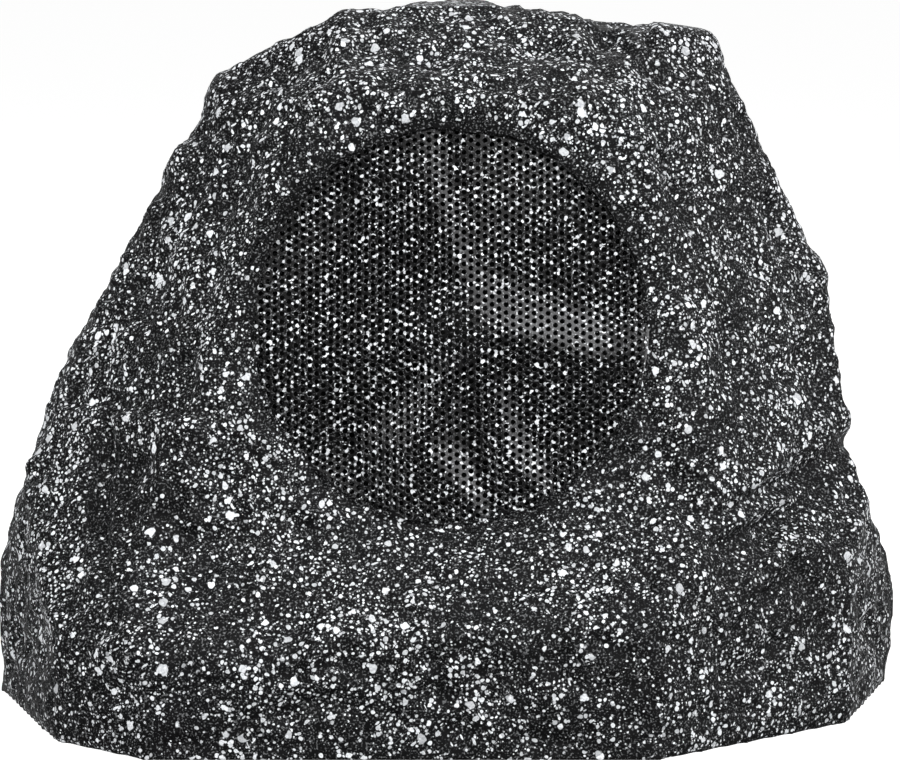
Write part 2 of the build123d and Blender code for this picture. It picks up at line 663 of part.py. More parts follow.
def cone():
    """The woofer's cone, with a flat lip under the surround."""
    neck = NECK_DIAMETER / 2
    edge = CONE_DIAMETER / 2
    lip = edge - SURROUND_LIP
    return turned(
        (
            (neck, CONE_NECK),
            (lip, FLANGE_FRONT - CONE_SHEET),
            (edge, FLANGE_FRONT - CONE_SHEET),
            (edge, FLANGE_FRONT),
            (lip, FLANGE_FRONT),
            (neck, CONE_NECK + CONE_SHEET),
        )
    )


def cone_height(radius):
    """Height of the cone's front at a radius."""
    neck = NECK_DIAMETER / 2
    lip = CONE_DIAMETER / 2 - SURROUND_LIP
    slope = (FLANGE_FRONT - CONE_NECK - CONE_SHEET) / (lip - neck)
    return CONE_NECK + CONE_SHEET + slope * (radius - neck)


def spider():
    """The corrugated disc that centres the coil, glued to the basket's landing."""
    neck = NECK_DIAMETER / 2
    throat = BASKET_THROAT / 2
    folds = 2 * SPIDER_WAVES
    under = []
    for i in range(folds + 1):
        under.append((neck + (throat - neck) * i / folds, LANDING + SPIDER_WAVE * (i % 2)))
    under.append((BASKET_WAIST / 2 - 2 * BASKET_SHEET, LANDING))
    over = [(radius, height + SPIDER_SHEET) for radius, height in reversed(under)]
    return turned(under + over)


def woofer_screws():
    """The screws through the flange and gasket into the baffle."""
    length = SCREW_GRIP + GASKET_THICKNESS + FLANGE_THICKNESS
    screws = Part()
    for place in flange_screw_places():
        screws += place * Pos(0, 0, FLANGE_FRONT) * screw(SCREW_HEAD, SCREW_DIAMETER, length)
    return screws


def woofer_gasket():
    """The foam ring between the flange and the baffle's ledge."""
    gasket = ring(FRAME_DIAMETER, CUTOUT_DIAMETER, DRIVER_LEDGE, FLANGE_BACK)
    for place in flange_screw_places():
        gasket -= place * screw_hole(SCREW_DIAMETER, SCREW_PASS_GAP, DRIVER_LEDGE, FLANGE_BACK)
    return gasket


def tag_strip():
    """The board of solder tags, under the spider's landing at the bottom of the basket."""
    middle = -BASKET_THROAT / 2 - STRIP_GAP - STRIP_SIZE[1] / 2
    return Pos(0, middle, STRIP_BACK) * Box(*STRIP_SIZE, align=GROUND)


def tags():
    """The two solder tags on the strip's back."""
    middle = -BASKET_THROAT / 2 - STRIP_GAP - STRIP_SIZE[1] / 2
    pair = Part()
    for place in GridLocations(TAG_SPACING, 1, 2, 1).locations:
        pair += place * Pos(0, middle, STRIP_BACK - TAG_SIZE[2]) * Box(*TAG_SIZE, align=GROUND)
    return pair


def woofer():
    """The woofer's pieces by node name, in the baffle's frame."""
    coil_middle = BASKET_BACK - TOP_PLATE_THICKNESS / 2
    coil_low = coil_middle - COIL_HEIGHT / 2
    coil_high = coil_middle + COIL_HEIGHT / 2
    yoke = disc(TOP_PLATE_DIAMETER, YOKE_BACK, MAGNET_BACK) + disc(POLE_DIAMETER, MAGNET_BACK, BASKET_BACK)
    return {
        "basket": basket(),
        "woofer_gasket": woofer_gasket(),
        "woofer_screws": woofer_screws(),
        "surround": surround(),
        "cone": cone(),
        "coil_former": ring(NECK_DIAMETER, COIL_DIAMETER, coil_low - COIL_TAIL, CONE_NECK + 2 * CONE_SHEET),
        "voice_coil": ring(WINDING_DIAMETER, NECK_DIAMETER, coil_low, coil_high),
        "spider": spider(),
        "top_plate": ring(TOP_PLATE_DIAMETER, COIL_BORE, MAGNET_FRONT, BASKET_BACK),
        "magnet": ring(MAGNET_DIAMETER, MAGNET_BORE, MAGNET_BACK, MAGNET_FRONT),
        "yoke": yoke,
        "tag_strip": tag_strip(),
        "solder_tags": tags(),
    }


def tweeter():
    """The tweeter's pieces by node name, in the baffle's frame."""
    back = cone_height(TWEETER_DIAMETER / 2) + CONE_TRAVEL + TWEETER_CLEARANCE
    seat = back + TWEETER_WALL
    front = back + TWEETER_HEIGHT
    bore = TWEETER_DIAMETER - 2 * TWEETER_WALL
    hold = bore / 2 - TWEETER_FIT
    rim = DOME_DIAMETER / 2
    face_low = front - FACE_HEIGHT
    plate_low = seat + TWEETER_MAGNET_HEIGHT
    plate_diameter = TWEETER_MAGNET_DIAMETER + 2 * TWEETER_PLATE_OVERHANG
    dome_top = [
        (hold, face_low),
        (rim, face_low),
        (DOME_SHOULDER / 2, face_low + DOME_SHOULDER_RISE),
        (0, face_low + DOME_RISE),
    ]
    dome_under = [(radius, height - DOME_SHEET) for radius, height in reversed(dome_top)]
    face_outline = (
        (rim + FACE_GAP, face_low),
        (hold, face_low),
        (hold, front),
        (rim + FACE_GAP + FACE_FLARE, front),
    )
    return {
        "tweeter_post": disc(POST_DIAMETER, BASKET_BACK, back),
        "tweeter_housing": disc(TWEETER_DIAMETER, back, front) - disc(bore, seat, front),
        "tweeter_magnet": disc(TWEETER_MAGNET_DIAMETER, seat, plate_low),
        "tweeter_plate": disc(plate_diameter, plate_low, plate_low + TWEETER_PLATE_HEIGHT),
        "tweeter_ring": ring(2 * hold, DOME_DIAMETER, seat, face_low - DOME_SHEET),
        "tweeter_dome": turned(dome_top + dome_under),
        "tweeter_face": turned(face_outline),
    }


def base_plate():
    """The base, with pillars for the crossover board and holes for screws and cable."""
    plate = foot_slab(WALL + BASE_GAP, BASE_RECESS, PLATE_TOP)
    for place in base_screw_places():
        plate -= place * screw_hole(SCREW_DIAMETER, SCREW_PASS_GAP, BASE_RECESS, PLATE_TOP)
    bore = BOARD_SCREW_DIAMETER + 2 * SCREW_GAP
    for place in board_screw_places():
        plate += place * ring(bore + 2 * PILLAR_WALL, bore, PLATE_TOP, BOARD_UNDER, SCREW_FLATS)
    cable_hole = true_disc(CABLE_DIAMETER + 2 * GROMMET_WALL, BASE_RECESS, PLATE_TOP)
    return plate - Pos(*GROMMET_PLACE, 0) * cable_hole


def base_gasket():
    """The foam seal between the base and the casting's rim."""
    seal = foot_slab(WALL + BASE_GAP, PLATE_TOP, RIM_UNDER)
    seal -= foot_slab(WALL + RIM_WIDTH, PLATE_TOP, RIM_UNDER)
    for place in base_screw_places():
        seal -= place * screw_hole(SCREW_DIAMETER, SCREW_PASS_GAP, PLATE_TOP, RIM_UNDER)
    return seal


def base_screws():
    """The screws that hold the base, heads down."""
    length = BASE_THICKNESS + GASKET_THICKNESS + RIM_THICKNESS - SCREW_TIP_GAP
    screws = Part()
    for place in base_screw_places():
        screws += place * Pos(0, 0, BASE_RECESS) * Rot(180, 0, 0) * screw(SCREW_HEAD, SCREW_DIAMETER, length)
    return screws


def cable_grommet():
    """The rubber grommet that the speaker cable passes up through."""
    body = CABLE_DIAMETER + 2 * GROMMET_WALL
    lip = body + 2 * GROMMET_LIP_WIDTH
    low = BASE_RECESS - GROMMET_LIP
    high = PLATE_TOP + GROMMET_LIP
    lips = disc(lip, low, BASE_RECESS) + disc(lip, PLATE_TOP, high)
    grommet = lips + true_disc(body, BASE_RECESS, PLATE_TOP) - true_disc(CABLE_DIAMETER, low, high)
    return Pos(*GROMMET_PLACE, 0) * grommet


def base():
    """The pieces of the base by node name."""
    return {
        "base_plate": base_plate(),
        "base_gasket": base_gasket(),
        "base_screws": base_screws(),
        "cable_grommet": cable_grommet(),
    }


def crossover():
    """The crossover board and what is soldered to it, by node name."""
    on_board = Pos(*BOARD_PLACE, BOARD_TOP)
    board = Pos(*BOARD_PLACE, BOARD_UNDER) * Box(BOARD_LENGTH, BOARD_WIDTH, BOARD_THICKNESS, align=GROUND)
    screws = Part()
    length = BOARD_THICKNESS + BOARD_LIFT - SCREW_TIP_GAP
    for place in board_screw_places():
        board -= place * screw_hole(BOARD_SCREW_DIAMETER, SCREW_GAP, BOARD_UNDER, BOARD_TOP)
        screws += place * Pos(0, 0, BOARD_TOP) * screw(BOARD_SCREW_HEAD, BOARD_SCREW_DIAMETER, length)
    capacitor = Rot(90, 0, 0) * disc(CAPACITOR_DIAMETER, -CAPACITOR_LENGTH / 2, CAPACITOR_LENGTH / 2)
    inductor = ring(INDUCTOR_DIAMETER, INDUCTOR_BORE, 0, INDUCTOR_WIDTH)
    return {
        "crossover_board": board,
        "crossover_screws": screws,
        "inductor": on_board * Pos(INDUCTOR_X, 0, 0) * inductor,
        "capacitor": on_board * Pos(CAPACITOR_X, CAPACITOR_Y, CAPACITOR_DIAMETER / 2) * capacitor,
        "resistor": on_board * Pos(0, RESISTOR_Y, 0) * Box(*RESISTOR_SIZE, align=GROUND),
        "terminal_block": on_board * Pos(TERMINAL_X, 0, 0) * Box(*TERMINAL_SIZE, align=GROUND),
    }


def driver_lead():
    """The lead from the terminal block on the crossover up to the tag strip."""
    strip_edge = -BASKET_THROAT / 2 - STRIP_GAP - STRIP_SIZE[1]
    tag_level = STRIP_BACK + STRIP_SIZE[2] / 2
    top = BAFFLE.from_local_coords(Vector(0, strip_edge, tag_level))
    below = BAFFLE.from_local_coords(Vector(0, strip_edge - LEAD_DROP, tag_level))
    end_x = BOARD_PLACE[0] + TERMINAL_X
    end_y = BOARD_PLACE[1] - TERMINAL_SIZE[1] / 2
    end = Vector(end_x, end_y, BOARD_TOP + TERMINAL_SIZE[2] / 2)
    before = end - Vector(0, LEAD_RUN, 0)
    path = FilletPolyline(top, below, before, end, radius=LEAD_BEND)
    section = Plane(origin=top, x_dir=(1, 0, 0), z_dir=below - top) * Rectangle(LEAD_WIDTH, LEAD_THICKNESS)
    return sweep(section, path)


def write(pieces):
    """Writes each piece to a file of its own."""
    os.makedirs(PARTS_FOLDER, exist_ok=True)
    for name, shape in pieces.items():
        export_step(shape, f"{PARTS_FOLDER}/{name}.step")


def main():
    """Builds every piece of the loudspeaker in place."""
    pieces = {"rock_shell": rock_shell(), "driver_lead": driver_lead()}
    for name, shape in ({"grille": grille()} | woofer() | tweeter()).items():
        pieces[name] = BAFFLE.location * shape
    write(pieces | base() | crossover())


main()
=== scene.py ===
"""Looks of a garden loudspeaker cast as a rock, dressed around its fixed CAD frame."""

import logging
import math
from dataclasses import dataclass
from enum import Enum
from functools import cache
from typing import Sequence

import bmesh
import bpy
import numpy as np
from bmesh.types import BMesh, BMVert
from bpy.types import Material, Mesh, Node, NodeSocket, NodeTree, Object
from mathutils import Matrix, Vector, noise
from mathutils.bvhtree import BVHTree
from mathutils.geometry import convex_hull_2d


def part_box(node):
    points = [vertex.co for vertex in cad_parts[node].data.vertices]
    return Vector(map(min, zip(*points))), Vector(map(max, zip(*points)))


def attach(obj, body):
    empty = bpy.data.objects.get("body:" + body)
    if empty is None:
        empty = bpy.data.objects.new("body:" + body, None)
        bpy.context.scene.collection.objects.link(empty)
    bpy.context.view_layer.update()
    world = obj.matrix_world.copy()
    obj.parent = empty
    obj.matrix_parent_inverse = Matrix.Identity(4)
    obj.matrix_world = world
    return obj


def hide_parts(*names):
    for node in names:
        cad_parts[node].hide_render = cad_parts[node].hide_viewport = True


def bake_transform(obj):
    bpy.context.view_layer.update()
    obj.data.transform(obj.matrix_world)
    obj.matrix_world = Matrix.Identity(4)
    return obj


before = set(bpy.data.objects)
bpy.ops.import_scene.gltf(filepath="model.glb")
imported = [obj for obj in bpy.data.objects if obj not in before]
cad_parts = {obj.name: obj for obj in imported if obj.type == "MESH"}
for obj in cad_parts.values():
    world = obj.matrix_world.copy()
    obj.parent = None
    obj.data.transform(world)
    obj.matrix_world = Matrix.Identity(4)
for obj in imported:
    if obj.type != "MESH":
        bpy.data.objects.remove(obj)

log = logging.getLogger("rock_speaker")

MM = 0.001
# Corners nearer than the first are one, and nearer than the second to a plane they lie in it
MERGE, LEVEL = 0.001 * MM, 0.02 * MM
TINY = 1e-9
ORIGIN = (0.0, 0.0, 0.0)
UP = (0.0, 0.0, 1.0)
EVEN = (1.0, 1.0, 1.0)
WHITE = (1.0, 1.0, 1.0)
HOUSING = "housing"
Triple = tuple[float, float, float]
Colour = Triple
Pair = tuple[float, float]


# Shared mesh helpers


def new_piece(name: str, mesh: Mesh) -> Object:
    """Puts a mesh into the scene as an object at the origin.

    Args:
        name: Name of the object.
        mesh: Mesh that already holds its place.

    Returns:
        The new object.
    """
    piece = bpy.data.objects.new(name, mesh)
    bpy.context.scene.collection.objects.link(piece)
    return piece


def write_back(bm: BMesh, mesh: Mesh) -> None:
    """Writes a bmesh to a mesh and frees it."""
    bm.to_mesh(mesh)
    bm.free()


def opened(mesh: Mesh) -> BMesh:
    """Opens a copy of a mesh as a bmesh.

    Args:
        mesh: Mesh that stays as it is.

    Returns:
        The bmesh.
    """
    bm = bmesh.new()
    bm.from_mesh(mesh)
    return bm


def piece_from_bmesh(name: str, bm: BMesh) -> Object:
    """Turns a bmesh into an object at the origin and frees the bmesh.

    Args:
        name: Name of the object and its mesh.
        bm: Finished bmesh.

    Returns:
        The new object.
    """
    mesh = bpy.data.meshes.new(name)
    write_back(bm, mesh)
    return new_piece(name, mesh)


def merged_copy(node: str) -> BMesh:
    """Copies a CAD node's mesh with its doubled corners merged.

    Args:
        node: Name of the CAD node.

    Returns:
        A closed bmesh of the node.
    """
    bm = opened(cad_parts[node].data)
    bmesh.ops.remove_doubles(bm, verts=bm.verts, dist=MERGE)
    return bm


def cylinder(radius: float, depth: float, sides: int, middle: Matrix) -> BMesh:
    """A closed cylinder about the Z axis of its own frame.

    Args:
        radius: Radius of the cylinder.
        depth: Length along its axis.
        sides: Number of flat sides.
        middle: Where its middle lies, and how it is turned.

    Returns:
        The cylinder.
    """
    bm = bmesh.new()
    bmesh.ops.create_cone(
        bm, cap_ends=True, segments=sides, radius1=radius, radius2=radius, depth=depth, matrix=middle
    )
    return bm


def settle(piece: Object) -> None:
    """Applies all modifiers of a piece to its mesh.

    Args:
        piece: Object whose modifiers are applied.
    """
    graph = bpy.context.evaluated_depsgraph_get()
    shaped = bpy.data.meshes.new_from_object(piece.evaluated_get(graph))
    plain = piece.data
    piece.modifiers.clear()
    piece.data = shaped
    bpy.data.meshes.remove(plain)
    shaped.name = piece.name


def thicken(piece: Object, sheet: float, offset: float) -> None:
    """Gives a sheet its thickness.

    Args:
        piece: Sheet, one face thick.
        sheet: Thickness.
        offset: Where the face lies in it: -1 on top, 0 in the middle.
    """
    thick = piece.modifiers.new("sheet", "SOLIDIFY")
    thick.thickness = sheet
    thick.offset = offset
    settle(piece)


def discard(piece: Object) -> None:
    """Removes a tool object and its mesh.

    Args:
        piece: Object that is no longer needed.
    """
    mesh = piece.data
    bpy.data.objects.remove(piece)
    bpy.data.meshes.remove(mesh)


class Cut(Enum):
    """How one closed form works on another."""

    ADD = "UNION"
    REMOVE = "DIFFERENCE"


def carve(piece: Object, tool: Object, cut: Cut) -> None:
    """Adds a closed tool to a closed piece, or removes it.

    Args:
        piece: Object that is changed.
        tool: Object that is added or removed, and left in the scene.
        cut: Whether the tool is added or removed.
    """
    modifier = piece.modifiers.new("carve", "BOOLEAN")
    modifier.solver = "MANIFOLD"
    modifier.operation = cut.value
    modifier.object = tool
    settle(piece)


def island_of(start: BMVert) -> set[BMVert]:
    """Finds every corner that is joined to one corner by edges.

    Args:
        start: Corner to start from.

    Returns:
        The corners of its island.
    """
    found = {start}
    waiting = [start]
    while waiting:
        for edge in waiting.pop().link_edges:
            for corner in edge.verts:
                if corner not in found:
                    found.add(corner)
                    waiting.append(corner)
    return found


def bearing(angle: float) -> Vector:
    """Level direction at an angle in radians."""
    return Vector((math.cos(angle), math.sin(angle), 0.0))


def face_outward(bm: BMesh) -> None:
    """Turns all faces of a sheet to one side, out of the baffle.

    Args:
        bm: Sheet in the baffle's own frame.
    """
    bmesh.ops.recalc_face_normals(bm, faces=bm.faces)
    if next(iter(bm.faces)).normal.z < 0.0:
        bmesh.ops.reverse_faces(bm, faces=bm.faces)


def rows_of(mesh: Mesh, what: str) -> np.ndarray:
    """Reads the places or the normals of a mesh's corners.

    Args:
        mesh: Mesh that is read.
        what: "co" for places, "normal" for normals.

    Returns:
        Rows of x, y and z.
    """
    flat = np.empty(len(mesh.vertices) * 3, np.float32)
    mesh.vertices.foreach_get(what, flat)
    return flat.reshape(-1, 3).astype(float)


def note_shares(mesh: Mesh, name: str, shares: np.ndarray) -> None:
    """Notes a share for each corner of a mesh, for its material."""
    attribute = mesh.attributes.new(name, "FLOAT", "POINT")
    attribute.data.foreach_set("value", shares.astype(np.float32))


def dress(piece: Object, material: Material, sharp: float) -> None:
    """Gives a piece its material, smooth but for its sharp edges.

    Args:
        piece: Piece in its final shape.
        material: Its material.
        sharp: Angle from which an edge stays sharp, in degrees.
    """
    piece.data.shade_smooth()
    piece.data.set_sharp_from_angle(angle=math.radians(sharp))
    piece.data.materials.clear()
    piece.data.materials.append(material)


def smooth_between(low: float, high: float, values: np.ndarray) -> np.ndarray:
    """Maps values to shares that rise smoothly from 0 at the low value to 1 at the high one."""
    share = np.clip((values - low) / (high - low), 0.0, 1.0)
    return share * share * (3.0 - 2.0 * share)


# Where the driver's baffle lies, and how the camera sees the rock


@dataclass(frozen=True)
class Baffle:
    """The tilted flat at the front that carries the driver and the grille."""

    reach: float = 102.0 * MM
    rise: float = 155.6 * MM
    tilt: float = math.radians(12.0)

    def place(self) -> Matrix:
        """Matrix from the baffle's own frame, Z out of its face, to the rock's."""
        turn = Matrix.Rotation(math.radians(90.0) - self.tilt, 4, "X")
        return Matrix.Translation((0.0, -self.reach, self.rise)) @ turn

    def local(self, points: np.ndarray) -> np.ndarray:
        """Turns rows of places on the rock into the baffle's own frame."""
        turn = np.array(self.place().inverted())
        return points @ turn[:3, :3].T + turn[:3, 3]


@dataclass(frozen=True)
class LipShade:
    """Painted shade: the band under the mouth's upper lip, where fewer pale drops and no painted highlight
    stand in for the lip's shadow.
    """

    radius: float = 75.5 * MM
    inward: float = 9.0 * MM
    outward: float = 6.5 * MM
    lean: float = math.radians(15.0)
    ends: Pair = (-0.15, 0.65)
    behind: float = 30.0 * MM
    strength: float = 0.9

    def mark(self, mesh: Mesh) -> None:
        """Notes on a mesh how far each point lies outside the lip's painted shade, as a share that falls
        towards 0 where it is darkest.

        Args:
            mesh: Mesh of the casting or the grille, in its place.
        """
        local = BAFFLE.local(rows_of(mesh, "co"))
        radius = np.maximum(np.hypot(local[:, 0], local[:, 1]), MM)
        off = radius - self.radius
        near = 1.0 - np.clip(np.maximum(off / self.outward, -off / self.inward), 0.0, 1.0)
        up = (local[:, 1] * math.cos(self.lean) - local[:, 0] * math.sin(self.lean)) / radius
        shade = self.strength * smooth_between(0.0, 1.0, near) * smooth_between(*self.ends, up)
        note_shares(mesh, "lip_unshaded", 1.0 - np.where(local[:, 2] > -self.behind, shade, 0.0))


@dataclass(frozen=True)
class Viewpoint:
    """The camera of the photograph, and its picture plane in pixels."""

    distance: float = 1700.0 * MM
    aim_height: float = 118.0 * MM
    elevation: float = math.radians(9.0)
    pixel: float = 0.4015 * MM
    picture_width: int = 900
    picture_height: int = 763
    sensor: float = 36.0

    def back(self) -> Vector:
        """Direction from the rock to the camera."""
        return Vector((0.0, -math.cos(self.elevation), math.sin(self.elevation)))

    def aim(self) -> Vector:
        """Pair that the camera looks at."""
        return Vector((0.0, 0.0, self.aim_height))

    def lens(self) -> float:
        """Focal length that gives the picture its scale, in millimetres."""
        return self.sensor * self.distance / (self.pixel * self.picture_width)

    def picture(self, points: np.ndarray) -> np.ndarray:
        """Where points of the rock show in the picture.

        Args:
            points: Rows of x, y and z.

        Returns:
            Rows of pixels across and down.
        """
        up = np.array((0.0, math.sin(self.elevation), math.cos(self.elevation)))
        offset = points - np.array(self.aim())
        scale = self.distance / (self.distance - offset @ np.array(self.back())) / self.pixel
        across = self.picture_width / 2 + offset[:, 0] * scale
        down = self.picture_height / 2 - (offset @ up) * scale
        return np.stack((across, down), axis=1)


BAFFLE = Baffle()
VIEW = Viewpoint()
LIP_SHADE = LipShade()


# Finishes

# Numbers of the sockets of a mix node that belong to its colours
MIX_SHARE, MIX_FIRST, MIX_SECOND, MIX_RESULT = 0, 6, 7, 2


class Recipe:
    """A material's node tree, with short calls that add and join its nodes."""

    def __init__(self, name: str) -> None:
        """Starts a material with nothing but its surface.

        Args:
            name: Name of the material.
        """
        self.material: Material = bpy.data.materials.new(name)
        self.material.use_nodes = True
        self.tree = self.material.node_tree
        self.tree.nodes.clear()
        self.surface = self.add("ShaderNodeBsdfPrincipled")
        self.add("ShaderNodeOutputMaterial", {"Surface": self.surface.outputs["BSDF"]})
        lie = self.add("ShaderNodeTexCoord")
        self.place = lie.outputs["Object"]
        self.outward = lie.outputs["Normal"]

    def add(self, kind: str, inputs: dict[str | int, object] | None = None, **settings: object) -> Node:
        """Adds a node.

        Args:
            kind: Type name of the node.
            inputs: Sockets or values for its inputs, by name or number.
            settings: Properties of the node by name.

        Returns:
            The node.
        """
        node = self.tree.nodes.new(kind)
        for name, value in settings.items():
            setattr(node, name, value)
        self.feed(node, inputs or {})
        return node

    def feed(self, node: Node, inputs: dict[str | int, object]) -> None:
        """Links sockets to inputs of a node, or sets the inputs to values.

        Args:
            node: Node that is fed.
            inputs: Sockets, numbers, vectors or colours by the input's name or number.
        """
        for name, value in inputs.items():
            target = node.inputs[name]
            if isinstance(value, NodeSocket):
                self.tree.links.new(value, target)
            else:
                target.default_value = (*value, 1.0) if target.type == "RGBA" else value

    def maths(self, operation: str, *values: object) -> NodeSocket:
        """Adds a sum of sockets and numbers, and returns its socket."""
        return self.add("ShaderNodeMath", dict(enumerate(values)), operation=operation).outputs[0]

    def vector(self, operation: str, *values: object) -> NodeSocket:
        """Adds a sum of vectors, and returns its socket."""
        return self.add("ShaderNodeVectorMath", dict(enumerate(values)), operation=operation).outputs[0]

    def mapped(
        self,
        value: NodeSocket,
        source: Sequence[object],
        target: Pair = (0.0, 1.0),
        smooth: bool = False,
    ) -> NodeSocket:
        """Maps a range to another and stops at its ends.

        Args:
            value: Socket to map.
            source: Range of the value, as sockets or numbers.
            target: Range of the result.
            smooth: Whether the ends are eased.

        Returns:
            The result's socket.
        """
        names = ("Value", "From Min", "From Max", "To Min", "To Max")
        ends = dict(zip(names, (value, *source, *target)))
        ease = "SMOOTHSTEP" if smooth else "LINEAR"
        return self.add("ShaderNodeMapRange", ends, interpolation_type=ease).outputs["Result"]

    def blend(self, share: object, first: object, second: object) -> NodeSocket:
        """Mixes two colours, all of the first at a share of 0, and returns the result's socket."""
        inputs = {MIX_SHARE: share, MIX_FIRST: first, MIX_SECOND: second}
        return self.add("ShaderNodeMix", inputs, data_type="RGBA").outputs[MIX_RESULT]

    def noise(self, size: float, detail: float, place: NodeSocket | None = None) -> Node:
        """Adds a cloudy noise with lumps of a size in metres and some finer layers."""
        inputs = {"Vector": place or self.place, "Scale": 1.0 / size, "Detail": detail}
        return self.add("ShaderNodeTexNoise", inputs)

    def attribute(self, name: str) -> NodeSocket:
        """Reads a share that is noted on the mesh, and returns its socket."""
        return self.add("ShaderNodeAttribute", attribute_name=name).outputs["Fac"]

    def shifted(self, shift: Triple, stretch: Triple = EVEN, turn: Triple = ORIGIN) -> NodeSocket:
        """The object's coordinates, moved, turned and drawn out.

        Args:
            shift: Move along each axis, in metres.
            stretch: How far a pattern is drawn out along each turned axis.
            turn: Turn about each axis, in degrees.

        Returns:
            The coordinates' socket.
        """
        angles = [math.radians(angle) for angle in turn]
        inputs = {"Vector": self.place, "Location": shift, "Rotation": angles, "Scale": stretch}
        return self.add("ShaderNodeMapping", inputs, vector_type="TEXTURE").outputs["Vector"]

    def facing(self, direction: Triple) -> NodeSocket:
        """How squarely the surface faces a direction, as the socket of the cosine."""
        inputs = {0: self.outward, 1: Vector(direction).normalized()}
        return self.add("ShaderNodeVectorMath", inputs, operation="DOT_PRODUCT").outputs["Value"]

    def bump(self, height: NodeSocket, depth: float) -> None:
        """Raises the surface's normal by a height from 0 to 1, where 1 is a depth in metres."""
        node = self.add("ShaderNodeBump", {"Distance": depth, "Height": height})
        self.feed(self.surface, {"Normal": node.outputs["Normal"]})


@dataclass(frozen=True)
class Spatter:
    """One throw of paint: drops of a size in millimetres, scattered through cells."""

    cell: float
    smallest: float
    largest: float
    share: float
    shift: Triple
    stretch: Triple = EVEN
    turn: Triple = ORIGIN
    edge: float = 0.8
    skew: float = 1.8
    dimmest: float = 0.5

    def mask(self, recipe: Recipe, ragged: NodeSocket, bend: float, density: NodeSocket) -> NodeSocket:
        """Mask of the drops.

        Args:
            recipe: Material that it goes into.
            ragged: Socket of a centred noise that bends the drops' outlines.
            bend: How far it bends them, as a share of the largest drop.
            density: Socket that thins or thickens the throw.

        Returns:
            Socket that is above 0 inside a drop, and higher in a paler one.
        """
        push = recipe.vector("MULTIPLY", ragged, (bend * (self.largest * MM),) * 3)
        place = recipe.vector("ADD", recipe.shifted(self.shift, self.stretch, self.turn), push)
        inputs = {"Vector": place, "Scale": 1.0 / (self.cell * MM)}
        cells = recipe.add("ShaderNodeTexVoronoi", inputs, feature="F1")
        lot = recipe.add("ShaderNodeSeparateColor", {"Color": cells.outputs["Color"]})
        spread = (self.largest - self.smallest) / self.cell
        skewed = recipe.maths("POWER", lot.outputs["Red"], self.skew)
        radius = recipe.maths("MULTIPLY_ADD", skewed, spread, self.smallest / self.cell)
        core = recipe.maths("MULTIPLY", radius, self.edge)
        inside = recipe.mapped(cells.outputs["Distance"], (radius, core), smooth=True)
        wanted = recipe.maths("MULTIPLY", density, self.share)
        present = recipe.maths("LESS_THAN", lot.outputs["Green"], wanted)
        tone = recipe.maths("MULTIPLY_ADD", lot.outputs["Blue"], 1.0 - self.dimmest, self.dimmest)
        return recipe.maths("MULTIPLY", recipe.maths("MULTIPLY", inside, present), tone)


